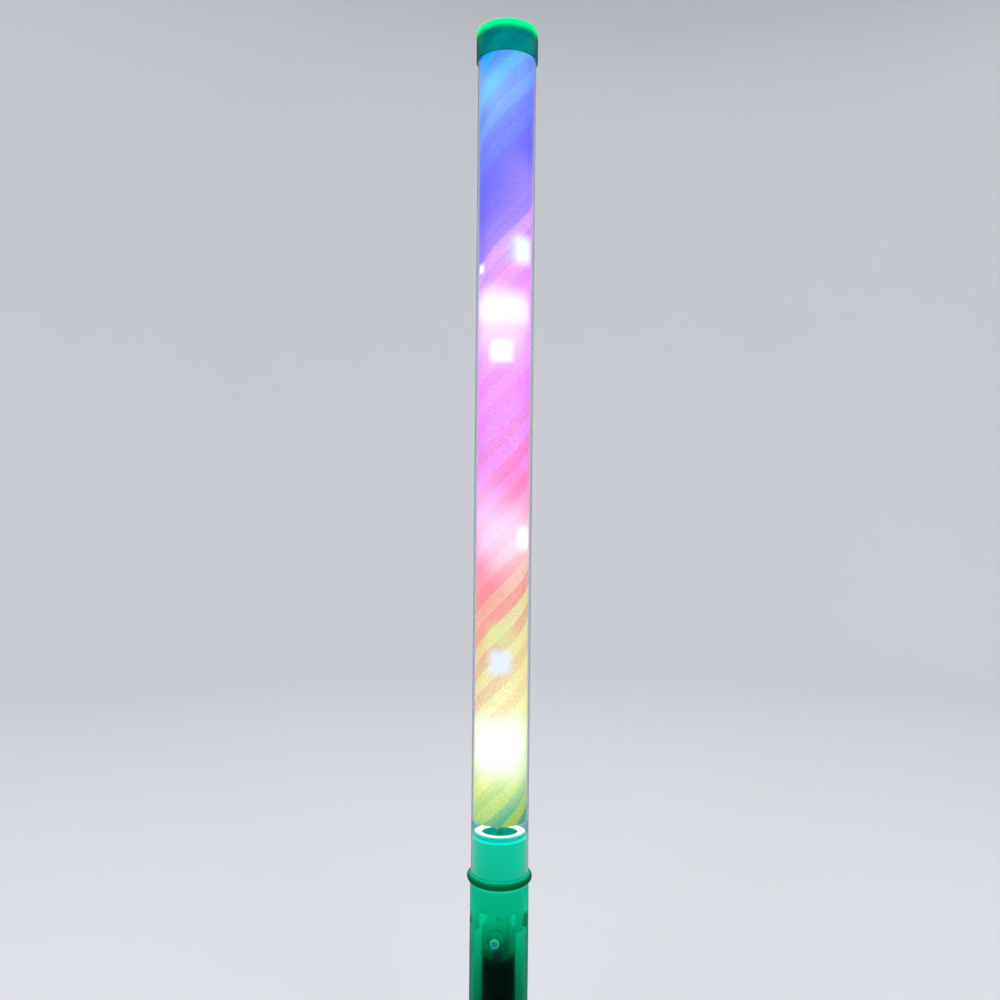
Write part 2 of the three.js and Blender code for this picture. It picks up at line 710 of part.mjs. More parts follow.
// A flat ribbon swept up the axis, each ring of four corners turned to the strip's angle.
function lampStrip() {
  const ring = [
    [-STRIP_THICKNESS / 2, -STRIP_WIDTH / 2],
    [STRIP_THICKNESS / 2, -STRIP_WIDTH / 2],
    [STRIP_THICKNESS / 2, STRIP_WIDTH / 2],
    [-STRIP_THICKNESS / 2, STRIP_WIDTH / 2],
  ];
  const straight = beadTop + BAR_HEIGHT + LOOSE_FIT;
  const heights = [stripBottom];
  for (let i = 0; i <= STRIP_STEPS; i += 1) {
    heights.push(straight + ((stripTop - straight) * i) / STRIP_STEPS);
  }
  const positions = [];
  const triangles = [];
  heights.forEach((height, step) => {
    const turn = stripAngle(Math.max(height, straight)) - stripAngle(straight);
    const point = new THREE.Vector3();
    for (const [x, y] of ring) {
      point.set(x, y, height).applyAxisAngle(new THREE.Vector3(0, 0, 1), turn);
      positions.push(...point);
    }
    if (step === 0) return;
    const low = 4 * (step - 1);
    for (let i = 0; i < 4; i += 1) {
      const j = (i + 1) % 4;
      triangles.push(low + i, low + j, low + 4 + j, low + i, low + 4 + j, low + 4 + i);
    }
  });
  const last = 4 * (heights.length - 1);
  triangles.push(0, 2, 1, 0, 3, 2, last, last + 1, last + 2, last, last + 2, last + 3);
  const strip = new THREE.BufferGeometry();
  strip.setAttribute("position", new THREE.Float32BufferAttribute(positions, 3));
  strip.setIndex(triangles);
  strip.computeVertexNormals();
  addPiece("lamp_strip", strip, stripWhite);
}

// Square lamps along the strip, each on the side that the strip faces at its height.
function lamps() {
  const half = LAMP_SIDE / 2;
  const shape = new THREE.Shape([
    new THREE.Vector2(-half, -half),
    new THREE.Vector2(half, -half),
    new THREE.Vector2(half, half - LAMP_CUT),
    new THREE.Vector2(half - LAMP_CUT, half),
    new THREE.Vector2(-half, half),
  ]);
  const body = new THREE.ExtrudeGeometry(shape, { depth: LAMP_HEIGHT, bevelEnabled: false });
  const window = new THREE.CylinderGeometry(
    LAMP_WINDOW / 2,
    LAMP_WINDOW / 2,
    2 * LAMP_WINDOW_DEPTH,
    SMALL_SIDES,
  );
  window.rotateX(Math.PI / 2).translate(0, 0, LAMP_HEIGHT);
  const lamp = worked(body, [], [window]);
  lamp.translate(0, 0, STRIP_THICKNESS / 2 + LAMP_SEAT).rotateX(Math.PI / 2);
  const straight = stripAngle(beadTop + BAR_HEIGHT + LOOSE_FIT);
  const first = neckTop + LAMP_START;
  const count = 1 + Math.floor((stripTop - LAMP_END_MARGIN - first) / LAMP_PITCH);
  for (let i = 0; i < count; i += 1) {
    const height = first + i * LAMP_PITCH;
    const mesh = addPiece(`lamp_${i + 1}`, lamp.clone(), lampWhite, height);
    mesh.rotation.z = Math.PI / 2 + stripAngle(height) - straight;
  }
}

// Two wires from the board's upper edge to the strip's tail.
function leadWires() {
  const ends = [
    ["red", redSleeve, 1],
    ["black", blackSleeve, -1],
  ];
  for (const [colour, material, side] of ends) {
    const low = boardTop + SEAT_GAP;
    const high = stripBottom - SEAT_GAP;
    const rise = (high - low) / 3;
    const line = new THREE.CatmullRomCurve3([
      new THREE.Vector3((side * PAD_SPACING) / 2, 0, low),
      new THREE.Vector3((side * PAD_SPACING) / 2, 0, low + rise),
      new THREE.Vector3(0, (side * WIRE_SPREAD) / 2, high - rise),
      new THREE.Vector3(0, (side * WIRE_SPREAD) / 2, high),
    ]);
    const wire = wireAlong(line, WIRE_DIAMETER, WIRE_SIDES, WIRE_STEPS);
    addPiece(`lead_wire_${colour}`, wire, material);
  }
}

clearTube();
rainbowFilm();
endCap();
neckCollar();
gripTube();
basePlug();
baseContact();
minusSpring();
buttonCells();
batteryHolder();
plusContact();
minusStrip();
circuitBoard();
tactSwitch();
switchPlunger();
pushButton();
controlChip();
limitResistor();
lampStrip();
lamps();
leadWires();

export default wand;
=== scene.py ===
"""Dresses a light-up party wand: clear tube, rainbow film, lamps, end cap and translucent green handle.

Sizes in the classes are millimetres, and meshes are metres in the wand's own frame: +Z runs from the flat
base to the end cap, and -Y faces the push button. Angles round the wand count from the button towards +X.
"""

import logging
import math
from dataclasses import dataclass
from enum import Enum
from typing import Sequence, Union

import bmesh
import bpy
import numpy as np
from mathutils import Matrix, Vector


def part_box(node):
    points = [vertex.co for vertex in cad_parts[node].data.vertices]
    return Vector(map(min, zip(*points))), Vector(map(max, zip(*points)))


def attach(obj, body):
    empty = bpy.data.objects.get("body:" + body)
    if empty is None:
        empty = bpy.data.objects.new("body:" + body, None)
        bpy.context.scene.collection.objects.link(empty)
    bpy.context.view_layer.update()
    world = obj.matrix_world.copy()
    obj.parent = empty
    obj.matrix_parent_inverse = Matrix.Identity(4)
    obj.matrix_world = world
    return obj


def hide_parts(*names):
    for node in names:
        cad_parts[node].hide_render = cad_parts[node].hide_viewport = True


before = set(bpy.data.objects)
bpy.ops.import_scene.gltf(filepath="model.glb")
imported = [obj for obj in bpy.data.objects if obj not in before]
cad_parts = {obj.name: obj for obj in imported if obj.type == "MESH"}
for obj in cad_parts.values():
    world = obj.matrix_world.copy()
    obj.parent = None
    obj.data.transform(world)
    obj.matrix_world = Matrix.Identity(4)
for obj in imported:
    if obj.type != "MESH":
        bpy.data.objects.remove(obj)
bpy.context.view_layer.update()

MM = 0.001
TURN = 2 * math.pi
LOG = logging.getLogger("wand")

Colour = tuple[float, float, float, float]
Socket = Union[bpy.types.NodeSocket, float]
MeshData = tuple[np.ndarray, np.ndarray]

BLACK: Colour = (0.0, 0.0, 0.0, 1.0)

# Edge radii of the mouldings, in millimetres
FILLET_FINE = 0.1
FILLET = 0.2
FILLET_WIDE = 0.3

# The angle in degrees past which an edge stays sharp
SHARP = 35.0

# How far a cutter runs past what it cuts, in millimetres
CUT_PAST = 1.0

# The bend in radians below which a corner counts as straight
STRAIGHT = 1e-6

# The lamp strip's UV map
TAPE_MAP = "tape"

# The noise between which a finish passes from its darker to its lighter patches
PATCH_EDGES = (0.3, 0.7)


class Body(Enum):
    """The rigid bodies that pieces ride on."""

    HANDLE = "handle"
    BUTTON = "button"
    PLUG = "plug"
    TUBE = "tube"
    CAP = "cap"


class Slot(Enum):
    """The record's material slots, one named for each new piece."""

    CLEAR = "clear_plastic"
    FILM = "printed_film"
    GREEN = "green_plastic"
    BUTTON = "button_plastic"
    STRIP = "strip_white"
    LAMP = "lamp_white"
    CELL = "cell_steel"
    CONTACT = "contact_steel"
    RED = "red_sleeve"
    BLACK_SLEEVE = "black_sleeve"


def paint(code: str) -> Colour:
    """Turns a six-digit screen colour into a linear one.

    Args:
        code: Red, green and blue as three pairs of hexadecimal digits.

    Returns:
        Linear red, green and blue with full alpha.
    """
    screen = [int(code[i : i + 2], 16) / 255 for i in (0, 2, 4)]
    linear = [c / 12.92 if c <= 0.04045 else ((c + 0.055) / 1.055) ** 2.4 for c in screen]
    return (*linear, 1.0)


@dataclass(frozen=True)
class Light:
    """Light that a piece carries at one height.

    Attributes:
        height: Millimetres above the base.
        colour: Its screen colour.
    """

    height: float
    colour: str


class NodeSheet:
    """Makes and links the shader nodes of one material round one Principled shader."""

    def __init__(self, name: str) -> None:
        """Starts a material and splits its Object coordinates.

        Args:
            name: The material's name.
        """
        self.material = bpy.data.materials.new(name)
        self.material.use_nodes = True
        self.tree = self.material.node_tree
        self.shader = self.tree.nodes["Principled BSDF"]
        self.place = self.node("ShaderNodeTexCoord").outputs["Object"]
        self.x, self.y, self.z = self.node("ShaderNodeSeparateXYZ", Vector=self.place).outputs

    def feed(self, socket: bpy.types.NodeSocket, value: object) -> None:
        """Links a socket to another one, or sets its plain value.

        Args:
            socket: The input that is fed.
            value: An output socket, a number, a vector or a colour.
        """
        if isinstance(value, bpy.types.NodeSocket):
            self.tree.links.new(value, socket)
        else:
            socket.default_value = value

    def node(self, kind: str, **inputs: object) -> bpy.types.Node:
        """Adds a node and feeds its named inputs.

        Args:
            kind: The node's class name.
            **inputs: Values or sockets by input name.

        Returns:
            The new node.
        """
        made = self.tree.nodes.new(kind)
        for name, value in inputs.items():
            self.feed(made.inputs[name], value)
        return made

    def set(self, **inputs: object) -> None:
        """Feeds the shader's inputs, with underscores for the spaces in their names."""
        for name, value in inputs.items():
            self.feed(self.shader.inputs[name.replace("_", " ")], value)

    def math(self, operation: str, *values: Socket) -> bpy.types.NodeSocket:
        """Does one sum on numbers.

        Args:
            operation: The Math node's operation.
            *values: Its inputs in order.

        Returns:
            The result's socket.
        """
        made = self.tree.nodes.new("ShaderNodeMath")
        made.operation = operation
        for socket, value in zip(made.inputs, values):
            self.feed(socket, value)
        return made.outputs[0]

    def step(self, value: Socket, low: float, high: float) -> bpy.types.NodeSocket:
        """Rises smoothly from 0 at low to 1 at high, and falls where low is the larger.

        Args:
            value: What is compared.
            low: Where the result is 0.
            high: Where the result is 1.

        Returns:
            The step's socket.
        """
        made = self.tree.nodes.new("ShaderNodeMapRange")
        made.interpolation_type = "SMOOTHSTEP"
        first, last, start, end = (low, high, 0.0, 1.0) if low < high else (high, low, 1.0, 0.0)
        names = ("Value", "From Min", "From Max", "To Min", "To Max")
        for name, number in zip(names, (value, first, last, start, end)):
            self.feed(made.inputs[name], number)
        return made.outputs["Result"]

    def noise(
        self, scale: float, detail: float = 3.0, stretch: Sequence[float] = (1.0, 1.0, 1.0)
    ) -> bpy.types.NodeSocket:
        """Gives a soft noise over the piece.

        Args:
            scale: Waves in a metre.
            detail: How many finer octaves it has.
            stretch: What each axis is multiplied by first.

        Returns:
            The noise's socket, about 0 to 1.
        """
        mapped = self.node("ShaderNodeMapping", Vector=self.place, Scale=tuple(stretch)).outputs[0]
        return self.node("ShaderNodeTexNoise", Vector=mapped, Scale=scale, Detail=detail).outputs["Fac"]

    def ramp(self, value: Socket, stops: Sequence[tuple[float, Colour]]) -> bpy.types.NodeSocket:
        """Looks a colour up along evenly blended stops.

        Args:
            value: Where on the ramp, 0 to 1.
            stops: Place and colour of each stop, in order.

        Returns:
            The colour's socket.
        """
        made = self.node("ShaderNodeValToRGB", Fac=value)
        elements = made.color_ramp.elements
        while len(elements) < len(stops):
            elements.new(1.0)
        for element, (place, colour) in zip(elements, stops):
            element.position = place
            element.color = colour
        return made.outputs["Color"]

    def mix(self, share: Socket, first: object, second: object, blend: str = "MIX") -> bpy.types.NodeSocket:
        """Mixes two colours.

        Args:
            share: How much of the second colour shows.
            first: Colour or socket at 0.
            second: Colour or socket at 1.
            blend: The Mix node's blend type.

        Returns:
            The mixed colour's socket.
        """
        made = self.tree.nodes.new("ShaderNodeMix")
        made.data_type = "RGBA"
        made.blend_type = blend
        made.clamp_factor = False
        # The factor comes first, and the two colours follow the sockets of the other data types
        sockets = (made.inputs[0], made.inputs[6], made.inputs[7])
        for socket, value in zip(sockets, (share, first, second)):
            self.feed(socket, value)
        return made.outputs[2]

    def count(self, length: Socket, first: float, pitch: float) -> bpy.types.NodeSocket:
        """Counts pitches from a first place: 0 there, and 1 a pitch on.

        Args:
            length: A length in metres.
            first: Where the count is 0, in millimetres.
            pitch: The pitch in millimetres.

        Returns:
            The count's socket.
        """
        return self.math("MULTIPLY_ADD", length, 1 / (MM * pitch), -first / pitch)

    def off_whole(self, value: Socket) -> bpy.types.NodeSocket:
        """Gives how far a number lies from the nearest whole one."""
        part = self.math("FRACT", self.math("ADD", value, 0.5))
        return self.math("ABSOLUTE", self.math("SUBTRACT", part, 0.5))

    def between(self, value: Socket, places: Sequence[float]) -> bpy.types.NodeSocket:
        """Rises from 0 to 1 between two places in millimetres, and falls where the first is the larger."""
        low, high = places
        return self.step(value, low * MM, high * MM)

    def vary(self, noise: Socket, low: float, high: float) -> bpy.types.NodeSocket:
        """Turns a noise of 0 to 1 into a number between low and high."""
        return self.math("MULTIPLY_ADD", noise, high - low, low)

    def along(self, lights: Sequence[Light]) -> bpy.types.NodeSocket:
        """Gives light along the wand: a ramp over Z with one stop for each height.

        Args:
            lights: The stops, upwards.

        Returns:
            The light's colour socket.
        """
        low, high = lights[0].height, lights[-1].height
        stops = [((light.height - low) / (high - low), paint(light.colour)) for light in lights]
        return self.ramp(self.count(self.z, low, high - low), stops)

    def radius(self) -> bpy.types.NodeSocket:
        """Gives the distance from the wand's axis."""
        return self.distance(self.x, self.y)

    def distance(self, across: Socket, up: Socket) -> bpy.types.NodeSocket:
        """Gives the root of the sum of two squares."""
        squared = self.math("MULTIPLY", up, up)
        return self.math("SQRT", self.math("MULTIPLY_ADD", across, across, squared))

    def bump(self, height: Socket, strength: float, distance: float) -> None:
        """Dents the surface by a height.

        Args:
            height: The pattern, 0 to 1.
            strength: How much of it shows.
            distance: Its depth in metres.
        """
        made = self.node("ShaderNodeBump", Height=height, Strength=strength, Distance=distance)
        self.set(Normal=made.outputs["Normal"])


@dataclass(frozen=True)
class Plain:
    """A plastic, resin, rubber or metal with a mottled colour and uneven gloss.

    Attributes:
        name: The material's name.
        dark: Screen colour of its darker patches.
        light: Screen colour of its lighter patches.
        rough: Least and most roughness.
        metal: 1 for bare metal.
        grain: Waves of its mottle in a metre.
        finer: How many times finer its relief is than its mottle.
        stretch: How the mottle is drawn out along each axis.
        relief: Depth of its fine relief in metres.
        gloss: How strongly its surface reflects, 0.5 as most plastics do.
        lights: The lamp light that it scatters, upwards, or nothing.
        gap: Places across in millimetres between which that light begins beside a middle left in painted
            shade, or none.
    """

    name: str
    dark: str
    light: str
    rough: tuple[float, float] = (0.35, 0.5)
    metal: float = 0.0
    grain: float = 900.0
    finer: float = 6.0
    stretch: tuple[float, float, float] = (1.0, 1.0, 1.0)
    relief: float = 2e-5
    gloss: float = 0.5
    lights: tuple[Light, ...] = ()
    gap: tuple[float, float] | None = None

    def material(self) -> bpy.types.Material:
        """Builds the material: a noise mixes its two colours, its gloss and its relief."""
        sheet = NodeSheet(self.name)
        mottle = sheet.noise(self.grain, detail=4.0, stretch=self.stretch)
        fine = sheet.noise(self.finer * self.grain, detail=2.0, stretch=self.stretch)
        sheet.set(
            Base_Color=sheet.mix(sheet.step(mottle, *PATCH_EDGES), paint(self.dark), paint(self.light)),
            Roughness=sheet.vary(mottle, *self.rough),
            Metallic=self.metal,
            Specular_IOR_Level=self.gloss,
        )
        # Painted light: the lamps' light along Z, with a middle left in painted shade where a gap is given
        if self.lights:
            scattered = sheet.along(self.lights)
            if self.gap:
                beside = sheet.between(sheet.math("ABSOLUTE", sheet.x), self.gap)
                scattered = sheet.mix(beside, BLACK, scattered)
            sheet.set(Emission_Color=scattered, Emission_Strength=1.0)
        sheet.bump(fine, strength=0.4, distance=self.relief)
        return sheet.material


@dataclass(frozen=True)
class ClearPlastic:
    """The tube's clear extruded plastic, with faint draw lines along it.

    Attributes:
        name: The material's name.
        tint: Screen colour of light that has come through it.
        smeared: The same where it is smeared.
        rough: Roughness of its clean and its smeared surface.
        smear_edges: The noise between which a smear begins.
        ior: How strongly it bends light.
        sheen: How much of the studio its surface mirrors, as a grey.
        lit_tint: Screen colour painted where the collar's light shows through it.
        lit_zone: Heights in millimetres between which it does so.
        lit_fade: Length over which that zone fades, in millimetres.
    """

    name: str = "clear_tube_plastic"
    tint: str = "f4f8fc"
    smeared: str = "eef4fa"
    rough: tuple[float, float] = (0.02, 0.07)
    smear_edges: tuple[float, float] = (0.45, 0.75)
    ior: float = 1.49
    sheen: Colour = (0.12, 0.12, 0.12, 1.0)
    lit_tint: str = "b0eaea"
    lit_zone: tuple[float, float] = (94.6, 100.6)
    lit_fade: float = 1.2

    def material(self) -> bpy.types.Material:
        """Builds the material: glassy plastic with draw lines along Z, painted teal with the collar's light
        in its lit zone.
        """
        sheet = NodeSheet(self.name)
        lines = sheet.noise(scale=2200.0, detail=2.0, stretch=(1.0, 1.0, 0.01))
        smears = sheet.noise(scale=70.0, detail=3.0, stretch=(1.0, 1.0, 0.35))
        # Painted light: the collar's glow tints the tube teal between these heights
        low, high = self.lit_zone
        above = sheet.between(sheet.z, (low, low + self.lit_fade))
        below = sheet.between(sheet.z, (high, high - self.lit_fade))
        lit = sheet.math("MULTIPLY", above, below)
        clear = sheet.mix(smears, paint(self.smeared), paint(self.tint))
        smear = sheet.step(smears, *self.smear_edges)
        sheet.set(
            Base_Color=sheet.mix(lit, clear, paint(self.lit_tint)),
            Roughness=sheet.vary(smear, *self.rough),
            Transmission_Weight=1.0,
            IOR=self.ior,
            Specular_Tint=self.sheen,
        )
        sheet.bump(lines, strength=0.12, distance=1e-5)
        return sheet.material


@dataclass(frozen=True)
class Stripe:
    """One stop of the film's two rainbows.

    Attributes:
        height: Where on the film's front, in millimetres above the base.
        light: Screen colour of the lighter stripes there.
        dark: Screen colour of the darker stripes there.
    """

    height: float
    light: str
    dark: str


@dataclass(frozen=True)
class PaintedPatch:
    """A painted patch on the film: a lamp's painted light, or painted shade where its tint is darker.

    Attributes:
        angle: Its place round the wand, in degrees from the button.
        height: Its place above the base, in millimetres.
        half: Half its width and height where it fades, in millimetres.
        soft: How far its edge fades, in millimetres.
        strength: How much of the film's painted light it covers in its middle.
        tint: Screen colour of its painted light or shade.
    """

    angle: float
    height: float
    half: tuple[float, float]
    soft: float
    strength: float
    tint: str = "ffffff"


@dataclass(frozen=True)
class RainbowPrint:
    """The lit film: slanting stripes that step through two rainbows, with the lamps' light on them painted
    on as the film's emission.

    Attributes:
        radius: The film's outer radius, in millimetres.
        front: The angle where heights of the stops are true, in degrees.
        pitch: Height from one dark stripe to the next.
        slant: Rise of a stripe for each unit round the film.
        dark_at: Height of the middle of one dark stripe on the front.
        stripe_edges: Share of the pitch from a dark stripe's middle between which it begins.
        wander: How far a stripe's edge strays.
        grain: Least and most shade of the ink's speckles.
        cloud: Least and most shade of its clouds.
        side_shade: Painted shade: how much deeper the colours are a quarter turn from the front, as an added
            power.
        side_shade_late: How late on the way round that painted shade sets in, as a power.
        shine: Share of the colour that the film sends out as painted light, for the lamps behind it.
        body: Share of the colour that studio light brings out.
        rough: Least and most roughness.
        lamp_gain: How much brighter a painted patch is than its screen colour.
        stripes: The stops of both rainbows, upwards.
        painted_patches: The painted patches of lamp light and shade on the film, of which each covers those
            before it.
    """

    radius: float = 10.0
    front: float = 8.0
    pitch: float = 12.95
    slant: float = 1.0
    dark_at: float = 116.8
    stripe_edges: tuple[float, float] = (0.262, 0.238)
    wander: float = 0.3
    grain: tuple[float, float] = (0.65, 1.35)
    cloud: tuple[float, float] = (0.92, 1.08)
    side_shade: float = 0.5
    side_shade_late: float = 4.0
    shine: float = 1.12
    body: float = 0.12
    rough: tuple[float, float] = (0.3, 0.45)
    lamp_gain: float = 1.2
    stripes: tuple[Stripe, ...] = (
        Stripe(60.0, "a0bc62", "2c9a90"),
        Stripe(100.0, "a6c45c", "46a886"),
        Stripe(108.0, "b8d878", "8cc882"),
        Stripe(118.0, "e2f08c", "d0e48c"),
        Stripe(130.0, "f4f6a8", "eceea6"),
        Stripe(146.0, "f8f2b4", "f7e2ac"),
        Stripe(157.0, "f0ecac", "eed0a0"),
        Stripe(169.0, "ebe4a6", "eac096"),
        Stripe(178.0, "efdaa2", "f1ae94"),
        Stripe(187.0, "fac2a8", "f7a29c"),
        Stripe(195.0, "fcbcbc", "fda2ae"),
        Stripe(213.0, "fdb0e2", "fd9cce"),
        Stripe(227.0, "fd9ce6", "fc8acc"),
        Stripe(239.0, "f999f9", "f890dc"),
        Stripe(252.0, "f198fc", "f492ea"),
        Stripe(265.0, "f69cfc", "f495f9"),
        Stripe(290.0, "f6a5fd", "f09bfc"),
        Stripe(310.0, "f8b2fd", "e6a4fd"),
        Stripe(319.0, "dca8fd", "bc94fd"),
        Stripe(330.0, "9a80f9", "947cf8"),
        Stripe(343.0, "7c72f6", "7e72f6"),
        Stripe(351.0, "7b7cfa", "7976f9"),
        Stripe(359.0, "7a8efd", "7a82fc"),
        Stripe(370.0, "84adfd", "849cfe"),
        Stripe(382.0, "66b8fc", "76a6fd"),
        Stripe(395.0, "18aafc", "288cf6"),
        Stripe(420.0, "109cf0", "1068c8"),
    )
    # Painted light and shade: darker tints paint shade on the film's bottom end in the neck and on its
    # sides, white and pale tints paint the lamps' light through it, and the last is a painted glint, a
    # lamp's reflection in the tube's wall
    painted_patches: tuple[PaintedPatch, ...] = (
        PaintedPatch(0.0, 98.5, (40.0, 3.0), 3.5, 0.4, "3f9468"),
        PaintedPatch(-52.0, 106.0, (8.0, 5.0), 6.0, 0.25, "7db45c"),
        PaintedPatch(68.0, 160.0, (5.0, 14.0), 7.0, 0.45, "e6d07e"),
        PaintedPatch(-45.0, 184.0, (9.0, 7.0), 7.0, 0.4, "f27870"),
        PaintedPatch(-60.0, 195.0, (9.0, 6.0), 6.0, 0.6, "fc6e88"),
        PaintedPatch(-62.0, 156.0, (6.0, 7.0), 6.0, 0.3, "f0cc90"),
        PaintedPatch(-68.0, 173.0, (5.0, 9.0), 6.0, 0.35, "f0a080"),
        PaintedPatch(40.0, 305.0, (10.0, 3.5), 4.0, 0.3, "f07cf0"),
        PaintedPatch(50.0, 342.0, (6.0, 7.0), 6.0, 0.25, "c8a0f4"),
        PaintedPatch(-55.0, 376.0, (9.0, 6.0), 6.0, 0.4, "9ae0ff"),
        PaintedPatch(50.0, 225.0, (9.0, 12.0), 8.0, 0.45, "fb6ea8"),
        PaintedPatch(-45.0, 222.0, (7.0, 10.0), 7.0, 0.3, "fdccff"),
        PaintedPatch(58.0, 124.0, (9.0, 13.0), 9.0, 0.5, "eef8ac"),
        PaintedPatch(0.0, 130.3, (11.5, 9.3), 8.0, 1.0),
        PaintedPatch(5.0, 172.3, (4.4, 4.0), 2.8, 0.65, "d4e48e"),
        PaintedPatch(5.0, 162.2, (4.1, 4.3), 2.2, 0.95, "dee4f4"),
        PaintedPatch(15.0, 210.0, (14.0, 8.0), 12.0, 0.55, "fff0fc"),
        PaintedPatch(60.0, 208.3, (3.2, 4.2), 2.4, 1.0),
        PaintedPatch(-4.0, 287.0, (10.5, 11.0), 9.0, 0.58, "fff2ff"),
        PaintedPatch(-25.0, 296.0, (8.0, 4.6), 4.6, 0.45, "fff4ff"),
        PaintedPatch(7.0, 293.6, (10.0, 4.5), 4.5, 1.0),
        PaintedPatch(2.0, 278.0, (4.1, 3.9), 1.8, 1.0),
        PaintedPatch(34.0, 315.5, (4.0, 4.4), 3.4, 0.4, "c4e0ff"),
        PaintedPatch(50.0, 315.7, (3.8, 4.6), 2.6, 1.0, "eefcff"),
        PaintedPatch(-52.0, 309.0, (1.6, 1.6), 1.0, 1.0),
    )

    def patch_strength(self, sheet: NodeSheet, glow: PaintedPatch, around: Socket) -> bpy.types.NodeSocket:
        """Gives one painted patch's strength: a soft-edged window, as a fade round the film times a fade
        along it.

        Args:
            sheet: The material's nodes.
            glow: The painted patch of lamp light or shade.
            around: Length round the film from the button, in metres.

        Returns:
            The light's strength as a socket.
        """
        centre = self.radius * math.radians(glow.angle) * MM
        across = sheet.math("ABSOLUTE", sheet.math("SUBTRACT", around, centre))
        along = sheet.math("ABSOLUTE", sheet.math("SUBTRACT", sheet.z, glow.height * MM))
        fades = [
            sheet.between(distance, (half + glow.soft, max(half - glow.soft, 0.0)))
            for distance, half in zip((across, along), glow.half)
        ]
        return sheet.math("MULTIPLY", sheet.math("MULTIPLY", *fades), glow.strength)

    def slanted(self, sheet: NodeSheet, around: Socket) -> bpy.types.NodeSocket:
        """Gives the height at which a place's stripe meets the film's front.

        Args:
            sheet: The material's nodes.
            around: Length round the film from the button, in metres.

        Returns:
            The place's height less what its stripe rises on the way from the front, with a slight wander.
        """
        rise = sheet.math("SUBTRACT", around, self.radius * math.radians(self.front) * MM)
        level = sheet.math("MULTIPLY_ADD", rise, -self.slant, sheet.z)
        wander = sheet.vary(sheet.noise(scale=45.0, detail=1.0), -self.wander * MM, self.wander * MM)
        return sheet.math("ADD", level, wander)

    def ink(self, sheet: NodeSheet, slanted: Socket) -> bpy.types.NodeSocket:
        """Gives the print's colour: lighter and darker stripes in turn, with speckles and clouds.

        Args:
            sheet: The material's nodes.
            slanted: The slanted height in metres.

        Returns:
            The colour's socket.
        """
        low, high = self.stripes[0].height, self.stripes[-1].height
        share = sheet.count(slanted, low, high - low)
        places = [(stop.height - low) / (high - low) for stop in self.stripes]
        light = sheet.ramp(share, [(place, paint(stop.light)) for place, stop in zip(places, self.stripes)])
        dark = sheet.ramp(share, [(place, paint(stop.dark)) for place, stop in zip(places, self.stripes)])
        wave = sheet.off_whole(sheet.count(slanted, self.dark_at, self.pitch))
        striped = sheet.mix(sheet.step(wave, *self.stripe_edges), light, dark)
        grain = sheet.vary(sheet.noise(scale=1500.0), *self.grain)
        cloud = sheet.vary(sheet.noise(scale=60.0, detail=2.0), *self.cloud)
        return sheet.mix(1.0, striped, self.grey(sheet, sheet.math("MULTIPLY", grain, cloud)), "MULTIPLY")

    def material(self) -> bpy.types.Material:
        """Builds the film: angle and height pick stripe and colour, sent out as painted light, and the
        painted patches of lamp light and shade cover them.
        """
        sheet = NodeSheet("rainbow_film_print")
        angle = sheet.math("ARCTAN2", sheet.x, sheet.math("MULTIPLY", sheet.y, -1.0))
        around = sheet.math("MULTIPLY", angle, self.radius * MM)
        inked = self.ink(sheet, self.slanted(sheet, around))
        # Painted shade: the colours deepen towards the sides, a quarter turn from the front
        aside = sheet.math("SINE", sheet.math("SUBTRACT", angle, math.radians(self.front)))
        late = sheet.math("POWER", sheet.math("ABSOLUTE", aside), self.side_shade_late)
        power = sheet.math("MULTIPLY_ADD", late, self.side_shade, 1.0)
        side_shaded = sheet.node("ShaderNodeGamma", Color=inked, Gamma=power).outputs["Color"]
        # Painted light: the film sends out its ink's colour as the lamps' light behind it
        lit = sheet.mix(1.0, side_shaded, self.grey(sheet, self.shine), "MULTIPLY")
        for glow in self.painted_patches:
            lit = sheet.mix(self.patch_strength(sheet, glow, around), lit, self.bright(glow.tint))
        sheet.set(
            Base_Color=sheet.mix(1.0, inked, self.grey(sheet, self.body), "MULTIPLY"),
            Roughness=sheet.vary(sheet.noise(scale=300.0), *self.rough),
            Emission_Color=lit,
            Emission_Strength=1.0,
        )
        buckle = sheet.noise(scale=110.0, detail=2.0, stretch=(1.0, 1.0, 0.3))
        sheet.bump(buckle, strength=0.15, distance=2e-4)
        return sheet.material

    def bright(self, tint: str) -> Colour:
        """Gives a painted patch's colour, a little brighter than the screen shows."""
        red, green, blue = (self.lamp_gain * part for part in paint(tint)[:3])
        return (red, green, blue, 1.0)

    @staticmethod
    def grey(sheet: NodeSheet, value: Socket) -> bpy.types.NodeSocket:
        """Makes a grey of one number, to multiply colours by."""
        return sheet.node("ShaderNodeCombineColor", Red=value, Green=value, Blue=value).outputs["Color"]


